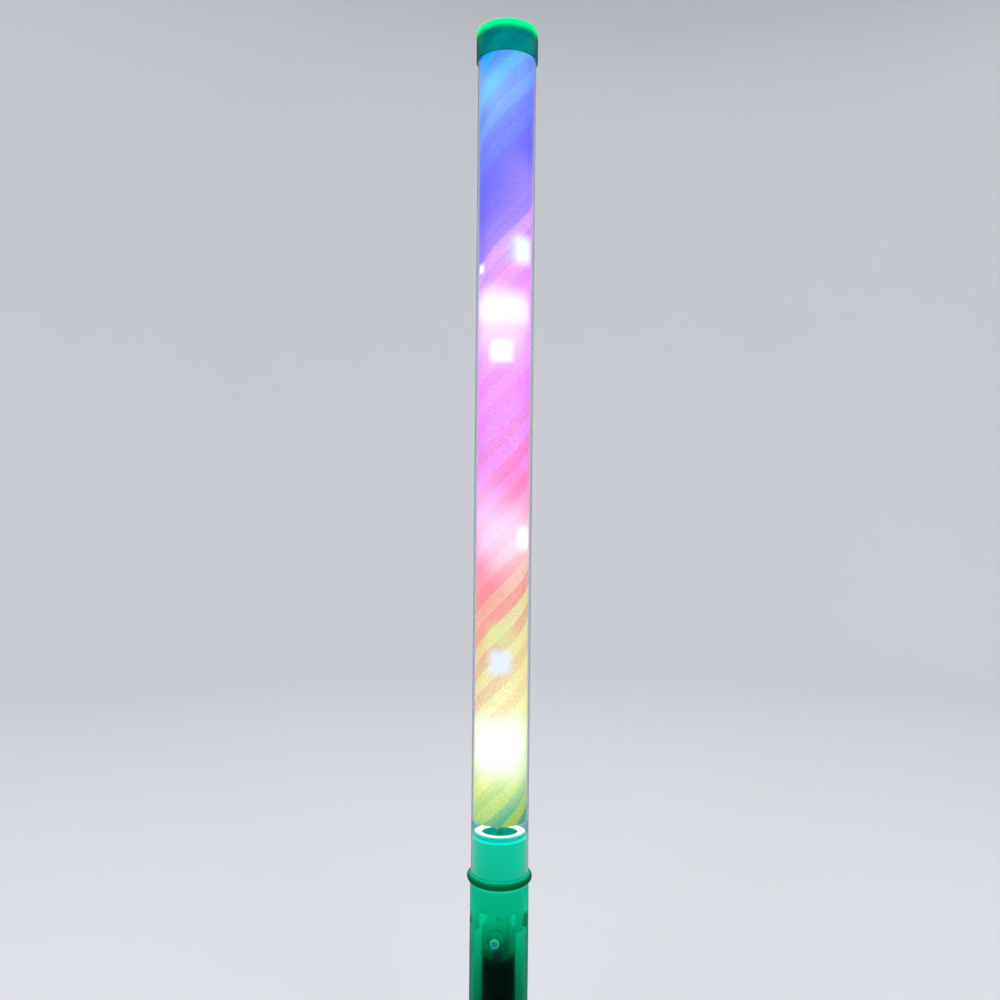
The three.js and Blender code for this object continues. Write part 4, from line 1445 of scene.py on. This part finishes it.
class Handle(Assembly):
    """The neck collar, the grip and the base plug."""

    # Painted light: the lamps' glow in the collar, a cyan line at its step and its white rim, with painted
    # shade on the bead
    collar_finish = GreenPlastic(
        "neck_collar_green",
        "068460",
        (
            Light(56.0, "009888"),
            Light(61.0, "009484"),
            Light(66.0, "008074"),
            Light(76.4, "005a4a"),
            Light(78.8, "00b48c"),
            Light(93.5, "00c49a"),
            Light(93.8, "00ffee"),
            Light(94.15, "00ffee"),
            Light(94.4, "00c4a6"),
            Light(96.4, "00d4b6"),
        ),
        rough=0.35,
        see=0.25,
        skin=(
            Light(56.0, "004c00"),
            Light(66.0, "004c00"),
            Light(76.4, "005a4a"),
            Light(78.8, "00b48c"),
            Light(80.0, "00b48c"),
        ),
        inner=10.1,
        dim=(10.6, 12.6),
        hollow_light=(9.2, "00968c"),
        ring=(7.0, 10.0),
        ring_height=95.9,
        sheen=(0.12, 0.12, 0.12, 1.0),
    )
    # Painted light: the lamps' glow in the grip, darker towards the base
    grip_finish = GreenPlastic(
        "grip_green",
        "0cae88",
        (
            Light(0.0, "001c18"),
            Light(20.0, "004038"),
            Light(30.0, "006458"),
            Light(37.0, "00887a"),
            Light(46.5, "00bfb3"),
            Light(51.5, "00c8ba"),
            Light(57.5, "00b4a8"),
            Light(62.0, "008478"),
            Light(66.5, "003c38"),
            Light(76.3, "005652"),
        ),
        rough=0.15,
        see=1.0,
        skin=(
            Light(0.0, "000000"),
            Light(47.5, "000000"),
            Light(49.5, "001008"),
            Light(52.0, "00281c"),
            Light(57.5, "005038"),
            Light(61.0, "007052"),
            Light(67.0, "009870"),
            Light(75.4, "00a97f"),
            Light(75.9, "0cb68c"),
            Light(76.3, "18bf97"),
        ),
        inner=10.0,
    )
    # Painted light: a faint glow in the plug
    plug_finish = GreenPlastic(
        "base_plug_green",
        "0a9a74",
        (Light(0.0, "001810"), Light(20.0, "002c20")),
        rough=0.2,
        see=0.85,
    )

    def __init__(self, sizes: HandleSizes) -> None:
        """Keeps the sizes and reads the grip's place from the frame."""
        super().__init__()
        self.sizes = sizes
        self.grip_out, self.grip_bottom, self.grip_top = span("grip_tube")
        self.grip_in = self.grip_out - sizes.grip_wall

    def build(self) -> None:
        """Builds and dresses the three mouldings."""
        self.collar()
        self.grip()
        self.plug()

    def window_height(self) -> float:
        """Gives the height of the snap windows' middle."""
        return self.bead_bottom() - self.sizes.window_drop

    def bead_bottom(self) -> float:
        """Gives the height of the bead's underside, just above the grip."""
        return self.grip_top + self.sizes.seat_gap

    def collar(self) -> None:
        """Turns neck, bead and skirt, then joins the bar that holds the strip and the two snap tongues."""
        sizes = self.sizes
        bead_out, _, top = span("neck_collar")
        bottom = self.bead_bottom()
        skirt_out = self.grip_in - sizes.push_fit
        skirt_in = skirt_out - sizes.skirt_wall
        neck_in = sizes.neck_radius - sizes.neck_wall
        lip_out = sizes.neck_radius - sizes.lip_step
        rim = lip_out - sizes.rim_width
        bead = bottom + sizes.bead_height
        bead_round = (sizes.bead_height - sizes.bead_flat) / 2
        body = rounded(
            [
                (skirt_in, bottom - sizes.skirt_length, FILLET),
                (skirt_out, bottom - sizes.skirt_length, FILLET_WIDE),
                (skirt_out, bottom, FILLET_FINE),
                (bead_out, bottom, bead_round),
                (bead_out, bead, bead_round),
                (sizes.neck_radius, bead, sizes.neck_foot),
                (sizes.neck_radius, top - sizes.lip_height, FILLET),
                (lip_out, top - sizes.lip_height, FILLET_FINE),
                (lip_out, top, sizes.rim_round),
                (rim, top, sizes.rim_round),
                (rim, top - sizes.rim_thickness, FILLET),
                (neck_in, top - sizes.rim_thickness, FILLET),
                (neck_in, bead, FILLET_WIDE),
                (skirt_in, bottom, FILLET_WIDE),
            ],
            steps=6,
        )
        piece = make("neck_collar_moulding", turned(body, sizes.steps))
        width, height = sizes.bar
        reach = neck_in + sizes.neck_wall / 2
        joined = [block("bar", (-width / 2, -reach, bead), (width / 2, reach, bead + height))]
        window = self.window_height()
        low = window - sizes.window / 2 - sizes.tongue_margin
        pip_radius = sizes.window / 2 - sizes.pip_gap
        pip_in, pip_out = (skirt_in + skirt_out) / 2, self.grip_out - sizes.pip_recess
        pip = rounded(
            [
                (0.0, pip_in),
                (pip_radius, pip_in),
                (pip_radius, pip_out, sizes.pip_round),
                (0.0, pip_out),
            ]
        )
        for side in (-1, 1):
            angle = side * sizes.window_angle
            joined.append(self.tongue(skirt_in, skirt_out, low, bottom - sizes.tongue_root, angle))
            joined.append(radial_pin("pip", pip, window, angle))
        gap_x, gap_y = sizes.slot
        slot = block(
            "slot",
            (-gap_x / 2, -gap_y / 2, bead - CUT_PAST),
            (gap_x / 2, gap_y / 2, bead + height + CUT_PAST),
        )
        worked(piece, joined, [slot])
        self.add(piece, self.collar_finish.material(), Slot.GREEN, ["neck_collar"])

    def tongue(self, inner: float, outer: float, low: float, high: float, angle: float) -> bpy.types.Object:
        """Bends a tongue: a stretch of the skirt's ring that runs on downwards.

        Args:
            inner: Its inner radius.
            outer: Its outer radius.
            low: Its lower end.
            high: Its upper end, inside the skirt.
            angle: Its middle's angle from the button in degrees.

        Returns:
            The tongue.
        """
        half = math.degrees(self.sizes.tongue_width / 2 / outer)
        front = angle - 90.0
        out = arc((0, 0), outer, front - half, front + half, steps=12)
        back = arc((0, 0), inner, front + half, front - half, steps=12)
        outline = np.vstack([out, back])
        rings = np.stack([np.column_stack([outline, np.full(len(outline), z)]) for z in (low, high)])
        vertices = rings.reshape(-1, 3) * MM
        count = len(outline)
        sides = grid_faces(2, count, False, True)
        here = np.arange(len(out) - 1)
        end = np.column_stack([here, here + 1, count - 2 - here, count - 1 - here])
        return make("tongue", (vertices, np.vstack([sides, end, end + count])))

    def grip(self) -> None:
        """Turns the grip's wall, then cuts the snap windows and the button hole, each with a flare."""
        sizes = self.sizes
        wall = rounded(
            [
                (self.grip_in, self.grip_bottom, sizes.grip_edge),
                (self.grip_out, self.grip_bottom, sizes.grip_edge),
                (self.grip_out, self.grip_top, FILLET_WIDE),
                (self.grip_in, self.grip_top, sizes.grip_edge),
            ]
        )
        piece = make("grip_tube_wall", turned(wall, sizes.grip_steps))
        _, low, high = span("push_button")
        window = self.window_height()
        sides = (-sizes.window_angle, sizes.window_angle)
        cuts = [self.hole("window", sizes.window, window, angle) for angle in sides]
        cuts.append(self.hole("button_hole", sizes.button_hole, (low + high) / 2, 0.0))
        worked(piece, (), cuts)
        self.add(piece, self.grip_finish.material(), Slot.GREEN, ["grip_tube"])

    def hole(self, name: str, diameter: float, height: float, angle: float) -> bpy.types.Object:
        """Makes the cutter of one round hole, which widens as it leaves the grip.

        Args:
            name: The cutter's name.
            diameter: The hole's diameter.
            height: Its middle's height.
            angle: Its angle from the button in degrees.

        Returns:
            The cutter.
        """
        radius, out = diameter / 2, self.grip_out
        flare, past = self.sizes.flare, out + 3 * CUT_PAST
        profile = np.array(
            [
                (0.0, out / 2),
                (radius, out / 2),
                (radius, out - flare),
                (radius + 2 * flare, out + flare),
                (radius + 2 * flare, past),
                (0.0, past),
            ]
        )
        return radial_pin(name, profile, height, angle, self.sizes.hole_steps)

    def plug(self) -> None:
        """Turns foot, plug ring and boss, then cuts the nail notch at the back."""
        sizes = self.sizes
        outer, bottom, boss_top = span("base_plug")
        plug_out = self.grip_in - sizes.push_fit
        plug_in = plug_out - sizes.plug_wall
        _, holder_bottom, _ = span("battery_holder")
        ring_top = holder_bottom - sizes.seat_gap
        plate = bottom + sizes.base_plate
        boss = sizes.boss / 2
        body = rounded(
            [
                (0.0, bottom),
                (outer, bottom, sizes.base_round),
                (outer, plate, sizes.grip_edge),
                (plug_out, plate, FILLET_FINE),
                (plug_out, ring_top, sizes.plug_round),
                (plug_in, ring_top, FILLET),
                (plug_in, plate, FILLET_WIDE),
                (boss, plate, FILLET_WIDE),
                (boss, boss_top, FILLET_WIDE),
                (0.0, boss_top),
            ],
            steps=6,
        )
        piece = make("base_plug_moulding", turned(body, sizes.steps))
        width, depth, height = sizes.notch
        notch = block(
            "notch",
            (-width / 2, outer - depth, plate - height),
            (width / 2, 2 * outer, ring_top),
        )
        worked(piece, (), [notch])
        self.add(piece, self.plug_finish.material(), Slot.GREEN, ["base_plug"], Body.PLUG)


@dataclass
class ButtonSizes:
    """Sizes of the button in millimetres, as in its solid, and of its dish and rounding."""

    radius: float = 1.7
    rim: float = 0.7
    rim_round: float = 0.35
    dish: float = 0.45
    dish_round: float = 0.4
    flange: float = 1.0
    bore: float = 10.0
    seat_gap: float = 0.3
    steps: int = 64


class Switch(Assembly):
    """The push button and the board with its switch, chip and resistor."""

    black = Plain("black_moulding", "0b0c0c", "151717", (0.45, 0.6))
    resin = Plain("chip_resin", "090909", "141210", (0.2, 0.35), grain=500.0)
    # The switch's cover, with painted lamp light rising up it
    steel = Plain(
        "switch_cover",
        "1a1c1c",
        "262828",
        (0.35, 0.5),
        gloss=0.2,
        lights=(
            Light(53.9, "002818"),
            Light(55.5, "006a48"),
            Light(58.0, "007a54"),
            Light(59.9, "008a60"),
        ),
    )

    def __init__(self, sizes: ButtonSizes) -> None:
        """Keeps the sizes."""
        super().__init__()
        self.sizes = sizes

    def build(self) -> None:
        """Builds the button and dresses the board's pieces."""
        self.button()
        self.dress_node("circuit_board", BoardLaminate().material())
        self.dress_node("tact_switch", self.steel.material())
        self.dress_node("switch_plunger", self.black.material())
        self.dress_node("control_chip", self.resin.material())
        self.dress_node("limit_resistor", self.resin.material())

    def button(self) -> None:
        """Turns the flanged button, with a soft rim and a dished end."""
        sizes = self.sizes
        low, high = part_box("push_button")
        outer, inner = -low[1] / MM, -high[1] / MM
        height = (low[2] + high[2]) / 2 / MM
        flange = (high[0] - low[0]) / 2 / MM
        radius, dish, well = sizes.radius, sizes.dish, sizes.radius - sizes.rim
        flange_end = math.sqrt(sizes.bore**2 - flange**2) - sizes.seat_gap
        flange_start = flange_end - sizes.flange
        profile = rounded(
            [
                (0.0, inner),
                (radius, inner, FILLET),
                (radius, flange_start, FILLET_FINE),
                (flange, flange_start, FILLET),
                (flange, flange_end, FILLET),
                (radius, flange_end, FILLET_FINE),
                (radius, outer, sizes.rim_round),
                (well, outer, FILLET_WIDE),
                (well - dish, outer - dish, sizes.dish_round),
                (0.0, outer - dish),
            ]
        )
        piece = radial_pin("push_button_pin", profile, height, steps=sizes.steps)
        self.add(piece, ButtonPlastic(height).material(), Slot.BUTTON, ["push_button"], Body.BUTTON)


@dataclass
class StripSizes:
    """Sizes of the lamp strip, its lamps and its wires, as in the solids that they stand for.

    Lengths are in millimetres and the swing is in degrees. The powers square, soft and circle shape a lamp's
    rings. The dome's rings are shares of the window's radius with their heights above the well, and the
    wires' bend is its start and its length, as shares of the wire.
    """

    width: float = 6.0
    thickness: float = 0.4
    edge_share: float = 0.9
    rows: int = 260
    swing: float = 90.0
    pitch: float = 130.0
    straight: float = 83.9
    lamp_side: float = 5.0
    lamp_seat: float = 0.55
    lamp_height: float = 1.6
    lamp_window: float = 3.8
    lamp_well: float = 0.3
    lamp_edge: tuple[float, float] = (0.12, 0.25)
    lamp_steps: int = 64
    square: int = 14
    soft: int = 10
    circle: int = 2
    well_taper: float = 0.1
    dome_gap: float = 0.12
    dome_lift: float = 0.02
    dome: tuple[tuple[float, float], ...] = ((0.7, 0.12), (0.35, 0.17))
    wire: float = 1.0
    wire_low: float = 4.0
    wire_high: float = 3.2
    wire_bend: tuple[float, float] = (0.2, 0.6)
    wire_rows: int = 40


class LampString(Assembly):
    """The twisted strip, its lamps and the two wires that feed it."""

    red = Plain("red_wire_sleeve", "8e1410", "b8221a", (0.35, 0.5))
    black = Plain("black_wire_sleeve", "101112", "1b1c1e", (0.35, 0.5))
    body_white = Plain("lamp_body_white", "e4e2d8", "f7f6ee", (0.25, 0.4))

    def __init__(self, sizes: StripSizes) -> None:
        """Keeps the sizes and reads the strip's ends from the frame."""
        super().__init__()
        self.sizes = sizes
        _, self.bottom, self.top = span("lamp_strip")

    def build(self) -> None:
        """Builds strip, lamps and wires."""
        self.strip()
        body, window = self.body_white.material(), LampLight().material()
        count = sum(name.startswith("lamp_") and name != "lamp_strip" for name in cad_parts)
        for number in range(1, count + 1):
            self.lamp(number, body, window)
        self.wires()

    def swing(self, height: np.ndarray) -> np.ndarray:
        """Gives the cosine swing at a height in millimetres, as an angle in radians."""
        sizes = self.sizes
        return math.radians(sizes.swing / 2) * (1 + np.cos(TURN * (height - self.bottom) / sizes.pitch))

    def turn(self, height: np.ndarray) -> np.ndarray:
        """Gives the strip's twist at a height: a cosine swing, straight below where the bar holds it.

        Args:
            height: Heights in millimetres.

        Returns:
            Angles in radians from the strip's straight end.
        """
        straight = self.sizes.straight
        return self.swing(np.maximum(height, straight)) - self.swing(np.array(straight))

    def strip(self) -> None:
        """Sweeps a flat section with round edges up the axis, turned by the twist at each height."""
        sizes = self.sizes
        half, thin = sizes.width / 2, sizes.thickness / 2
        edge = sizes.edge_share * thin
        corners = ((-thin, -half), (thin, -half), (thin, half), (-thin, half))
        section = rounded([(*corner, edge) for corner in corners], steps=3)
        height = np.linspace(self.bottom, self.top, sizes.rows)
        turn = self.turn(height)[:, None]
        x = section[:, 0] * np.cos(turn) - section[:, 1] * np.sin(turn)
        y = section[:, 0] * np.sin(turn) + section[:, 1] * np.cos(turn)
        rings = np.stack([x, y, np.broadcast_to(height[:, None], x.shape)], -1)
        piece = make("lamp_strip_tape", lofted(rings * MM))
        self.map_tape(piece)
        self.add(piece, StripPrint().material(), Slot.STRIP, ["lamp_strip"])

    def map_tape(self, piece: bpy.types.Object) -> None:
        """Gives the strip its UV map: across in half widths, along in metres.

        Args:
            piece: The strip.
        """
        half = self.sizes.width / 2
        layer = piece.data.uv_layers.new(name=TAPE_MAP)
        places = np.empty(3 * len(piece.data.vertices))
        piece.data.vertices.foreach_get("co", places)
        places = places.reshape(-1, 3)
        back = -self.turn(places[:, 2] / MM)
        across = (places[:, 0] * np.sin(back) + places[:, 1] * np.cos(back)) / (half * MM)
        corners = np.empty(len(piece.data.loops), dtype=np.int32)
        piece.data.loops.foreach_get("vertex_index", corners)
        layer.data.foreach_set("uv", np.column_stack([across[corners], places[corners, 2]]).ravel())

    def lamp(self, number: int, body: bpy.types.Material, window: bpy.types.Material) -> None:
        """Lofts one lamp from a square foot to the round rim of its window, and the window's shallow dome.

        Args:
            number: Which lamp, from 1 at the bottom.
            body: Material of the lamp's body.
            window: Material of its window.
        """
        sizes = self.sizes
        node = f"lamp_{number}"
        low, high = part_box(node)
        height = (low[2] + high[2]) / 2 / MM
        facing = math.pi / 2 + float(self.turn(np.array(height)))
        place = Matrix.Translation((0, 0, height * MM)) @ Matrix.Rotation(facing, 4, "Z")
        angles = np.linspace(0, TURN, sizes.lamp_steps, endpoint=False)
        half, foot, rim = sizes.lamp_side / 2, sizes.lamp_seat, sizes.lamp_window / 2
        top = foot + sizes.lamp_height
        well = top - sizes.lamp_well
        edge_in, edge_down = sizes.lamp_edge
        shape = [
            (half, sizes.square, foot),
            (half, sizes.square, top - edge_down),
            (half - edge_in, sizes.soft, top),
            (rim, sizes.circle, top),
            (rim - sizes.well_taper, sizes.circle, well),
        ]
        self.add(self.lofted_lamp(f"lamp_body_{number}", shape, angles, place), body, Slot.LAMP, [node])
        dome = [(rim - sizes.dome_gap, sizes.circle, well + sizes.dome_lift)]
        dome += [(share * rim, sizes.circle, well + lift) for share, lift in sizes.dome]
        self.add(self.lofted_lamp(f"lamp_window_{number}", dome, angles, place), window, Slot.LAMP)

    @staticmethod
    def lofted_lamp(
        name: str, shape: Sequence[tuple[float, float, float]], angles: np.ndarray, place: Matrix
    ) -> bpy.types.Object:
        """Lofts rings that go from square to round: each is a superellipse of its own power.

        Args:
            name: The piece's name.
            shape: Half width, power and distance from the strip's middle of each ring, in millimetres.
            angles: Angles round the rings.
            place: Where the lamp sits and faces.

        Returns:
            The object.
        """
        rings = []
        for half, power, out in shape:
            round_sum = np.abs(np.cos(angles)) ** power + np.abs(np.sin(angles)) ** power
            reach = half / round_sum ** (1 / power)
            ring = [reach * np.cos(angles), np.full_like(angles, -out), reach * np.sin(angles)]
            rings.append(np.column_stack(ring))
        vertices, faces = lofted(np.stack(rings) * MM)
        turned_to = np.array(place)
        return make(name, (vertices @ turned_to[:3, :3].T + turned_to[:3, 3], faces), sharp=40.0)

    def wires(self) -> None:
        """Sweeps the two wires from the board's upper edge to the strip's tail, on a smooth S."""
        sizes = self.sizes
        start, length = sizes.wire_bend
        share = np.linspace(0, 1, sizes.wire_rows)
        ease = np.clip((share - start) / length, 0, 1)
        ease = ease * ease * (3 - 2 * ease)
        ends = (("red", self.red, Slot.RED, 1), ("black", self.black, Slot.BLACK_SLEEVE, -1))
        for colour, finish, slot, side in ends:
            node = f"lead_wire_{colour}"
            _, low, high = span(node)
            path = np.column_stack(
                [
                    side * sizes.wire_low / 2 * (1 - ease),
                    side * sizes.wire_high / 2 * ease,
                    low + share * (high - low),
                ]
            )
            across = np.broadcast_to([1.0, -1.0, 0.0], path.shape)
            piece = make(f"{node}_sleeve", swept(path, sizes.wire / 2, across))
            self.add(piece, finish.material(), slot, [node])


@dataclass
class BatterySizes:
    """Sizes of the cells and the spring in millimetres, as in the solids that they stand for."""

    cell_cap: float = 4.7
    cell_step: float = 0.4
    cell_round: float = 0.45
    spring_wire: float = 0.8
    spring_turns: int = 5
    spring_steps: int = 48
    spring_sides: int = 12
    cell_steps: int = 96


class Battery(Assembly):
    """The holder, the cells, the contacts and the spring on the plug."""

    # Painted light on the holder: dark below, lit on its top face, with a middle left in painted shade
    holder_top_light = (Light(47.9, "000000"), Light(49.2, "00905f"), Light(57.3, "009468"))
    black = Plain(
        "holder_black",
        "0a0b0b",
        "131515",
        (0.4, 0.55),
        grain=400.0,
        gloss=0.03,
        lights=holder_top_light,
        gap=(1.0, 2.4),
    )
    can = Plain("cell_can", "a9acae", "c6c8ca", (0.18, 0.3), metal=1.0, grain=600.0)
    tinned = Plain("contact_tin", "9c9fa2", "b8bbbd", (0.22, 0.36), metal=1.0, stretch=(1.0, 1.0, 0.2))

    def __init__(self, sizes: BatterySizes) -> None:
        """Keeps the sizes."""
        super().__init__()
        self.sizes = sizes

    def build(self) -> None:
        """Builds cells and spring, and dresses the holder and the contacts."""
        self.cells()
        tinned = self.tinned.material()
        self.spring(tinned)
        self.dress_node("battery_holder", self.black.material())
        for node in ("plus_contact", "minus_strip", "base_contact"):
            self.dress_node(node, tinned)

    def cells(self) -> None:
        """Turns each cell: rolled can above, smaller minus cap below."""
        sizes = self.sizes
        material = self.can.material()
        count = sum(name.startswith("button_cell_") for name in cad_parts)
        for number in range(1, count + 1):
            node = f"button_cell_{number}"
            can, bottom, top = span(node)
            step = bottom + sizes.cell_step
            profile = rounded(
                [
                    (0.0, bottom),
                    (sizes.cell_cap, bottom, FILLET_WIDE),
                    (sizes.cell_cap, step, FILLET_FINE),
                    (can, step, sizes.cell_round),
                    (can, top, sizes.cell_round),
                    (0.0, top),
                ]
            )
            piece = make(f"{node}_can", turned(profile, sizes.cell_steps))
            self.add(piece, material, Slot.CELL, [node])

    def spring(self, material: bpy.types.Material) -> None:
        """Sweeps the spring's wire along a helix.

        Args:
            material: The spring's tinned steel.
        """
        sizes = self.sizes
        outer, bottom, top = span("minus_spring")
        wire = sizes.spring_wire / 2
        share = np.linspace(0, 1, sizes.spring_steps * sizes.spring_turns)
        angle = TURN * sizes.spring_turns * share
        out = np.column_stack([np.cos(angle), np.sin(angle), np.zeros_like(angle)])
        rise = np.column_stack([0 * share, 0 * share, bottom + wire + share * (top - bottom - 2 * wire)])
        path = (outer - wire) * out + rise
        piece = make("minus_spring_wire", swept(path, wire, out, sizes.spring_sides))
        self.add(piece, material, Slot.CONTACT, ["minus_spring"], Body.PLUG)


@dataclass(frozen=True)
class SoftLamp:
    """One soft square lamp of the studio.

    Attributes:
        name: The lamp's name.
        place: Where it hangs, in millimetres.
        side: Its side in millimetres.
        power: Its power in watts.
    """

    name: str
    place: tuple[float, float, float]
    side: float
    power: float


@dataclass
class StudioSizes:
    """Where the camera stands, in millimetres, pixels and degrees, and the studio round the wand."""

    azimuth: float = 8.0
    distance: float = 347.0
    target: float = 222.5
    pitch: float = 1.0
    roll: float = 0.55
    focal_px: float = 907.0
    image_px: float = 1000.0
    aside_px: float = 3.0
    sensor: float = 36.0
    nearest: float = 10.0
    floor_drop: float = 36.0
    wall_radius: float = 1700.0
    wall_top: float = 3000.0
    wall_bend: float = 700.0
    paper: float = 20.0
    bend_steps: int = 24
    bowl_steps: int = 96
    pale: tuple[str, str] = ("cfd0d4", "d3d4d8")
    sky_tint: str = "e8eaee"
    sky: float = 0.45
    sky_mirrored: float = 0.12
    lamp_aim: float = 200.0
    lamps: tuple[SoftLamp, ...] = (
        SoftLamp("key", (-700, -800, 1500), 1100, 17.0),
        SoftLamp("fill", (900, -700, 1300), 1000, 11.0),
        SoftLamp("back", (200, 700, 1700), 900, 9.0),
    )


class Studio:
    """The camera, the pale bowl of paper below and round the wand, and soft light."""

    def __init__(self, sizes: StudioSizes) -> None:
        """Keeps the sizes."""
        self.sizes = sizes

    def build(self) -> None:
        """Builds camera, paper, world and lamps."""
        self.camera()
        self.bowl()
        self.world()
        for lamp in self.sizes.lamps:
            self.light(lamp)

    def camera(self) -> None:
        """Aims the camera at the wand's middle, a little downwards and a little rolled."""
        sizes = self.sizes
        azimuth, pitch = math.radians(sizes.azimuth), math.radians(sizes.pitch)
        level = math.cos(pitch)
        back = Vector((math.sin(azimuth) * level, -math.cos(azimuth) * level, math.sin(pitch)))
        target = Vector((0, 0, sizes.target * MM))
        data = bpy.data.cameras.new("view")
        data.sensor_width = sizes.sensor
        data.lens = sizes.focal_px / sizes.image_px * sizes.sensor
        data.clip_start = sizes.nearest * MM
        data.shift_x = -sizes.aside_px / sizes.image_px
        camera = bpy.data.objects.new("view", data)
        roll = Matrix.Rotation(math.radians(sizes.roll), 3, "Z").to_quaternion()
        aim = (-back).to_track_quat("-Z", "Y") @ roll
        place = Matrix.Translation(target + back * sizes.distance * MM)
        camera.matrix_world = place @ aim.to_matrix().to_4x4()
        bpy.context.scene.collection.objects.link(camera)
        bpy.context.scene.camera = camera

    def bowl_line(self, behind: float) -> np.ndarray:
        """Draws half of the bowl's section: floor, a quarter circle and a wall.

        Args:
            behind: How far behind the paper's face the line runs, in millimetres.

        Returns:
            Its points as radius and height in millimetres.
        """
        sizes = self.sizes
        floor = -sizes.floor_drop
        centre = (sizes.wall_radius - sizes.wall_bend, floor + sizes.wall_bend)
        bend = arc(centre, sizes.wall_bend + behind, -90, 0, sizes.bend_steps)
        return np.vstack([[[0.0, floor - behind]], bend, [[sizes.wall_radius + behind, sizes.wall_top]]])

    def bowl(self) -> None:
        """Turns the pale bowl, whose floor is just low enough for the pulled plug to show."""
        sizes = self.sizes
        section = np.vstack([self.bowl_line(sizes.paper), self.bowl_line(0.0)[::-1]])
        piece = make("studio_bowl", turned(section, sizes.bowl_steps), sharp=60.0)
        sheet = NodeSheet("studio_paper")
        mottle = sheet.noise(scale=3.0, detail=2.0)
        sheet.set(
            Base_Color=sheet.mix(mottle, *(paint(shade) for shade in sizes.pale)),
            Roughness=0.9,
        )
        piece.data.materials.append(sheet.material)
        piece.visible_glossy = False

    def world(self) -> None:
        """Lights the scene evenly with a pale grey sky, which looks darker in reflections."""
        sizes = self.sizes
        world = bpy.data.worlds.new("studio_sky")
        world.use_nodes = True
        tree = world.node_tree
        sky = tree.nodes["Background"]
        sky.inputs["Color"].default_value = paint(sizes.sky_tint)
        path = tree.nodes.new("ShaderNodeLightPath")
        level = tree.nodes.new("ShaderNodeMapRange")
        level.inputs["To Min"].default_value = sizes.sky
        level.inputs["To Max"].default_value = sizes.sky_mirrored
        tree.links.new(path.outputs["Is Glossy Ray"], level.inputs["Value"])
        tree.links.new(level.outputs["Result"], sky.inputs["Strength"])
        bpy.context.scene.world = world

    def light(self, lamp: SoftLamp) -> None:
        """Hangs one lamp so that it faces the wand's middle.

        Args:
            lamp: The lamp.
        """
        data = bpy.data.lights.new(lamp.name, "AREA")
        data.size = lamp.side * MM
        data.energy = lamp.power
        hung = bpy.data.objects.new(lamp.name, data)
        place = Vector(lamp.place) * MM
        middle = Vector((0, 0, self.sizes.lamp_aim * MM))
        aim = (middle - place).to_track_quat("-Z", "Y")
        hung.matrix_world = Matrix.Translation(place) @ aim.to_matrix().to_4x4()
        hung.visible_camera = False
        hung.visible_glossy = False
        hung.visible_transmission = False
        bpy.context.scene.collection.objects.link(hung)


def main() -> None:
    """Builds the studio and the wand's assemblies in order."""
    logging.basicConfig(level=logging.INFO, format="%(message)s")
    bpy.context.scene.view_settings.view_transform = "Standard"
    Studio(StudioSizes()).build()
    assemblies = (
        Tube(TubeSizes()),
        EndCap(CapSizes()),
        Handle(HandleSizes()),
        Switch(ButtonSizes()),
        LampString(StripSizes()),
        Battery(BatterySizes()),
    )
    for assembly in assemblies:
        assembly.build()
        LOG.info("%s: %d pieces", type(assembly).__name__, len(assembly.pieces))


if __name__ == "__main__":
    main()
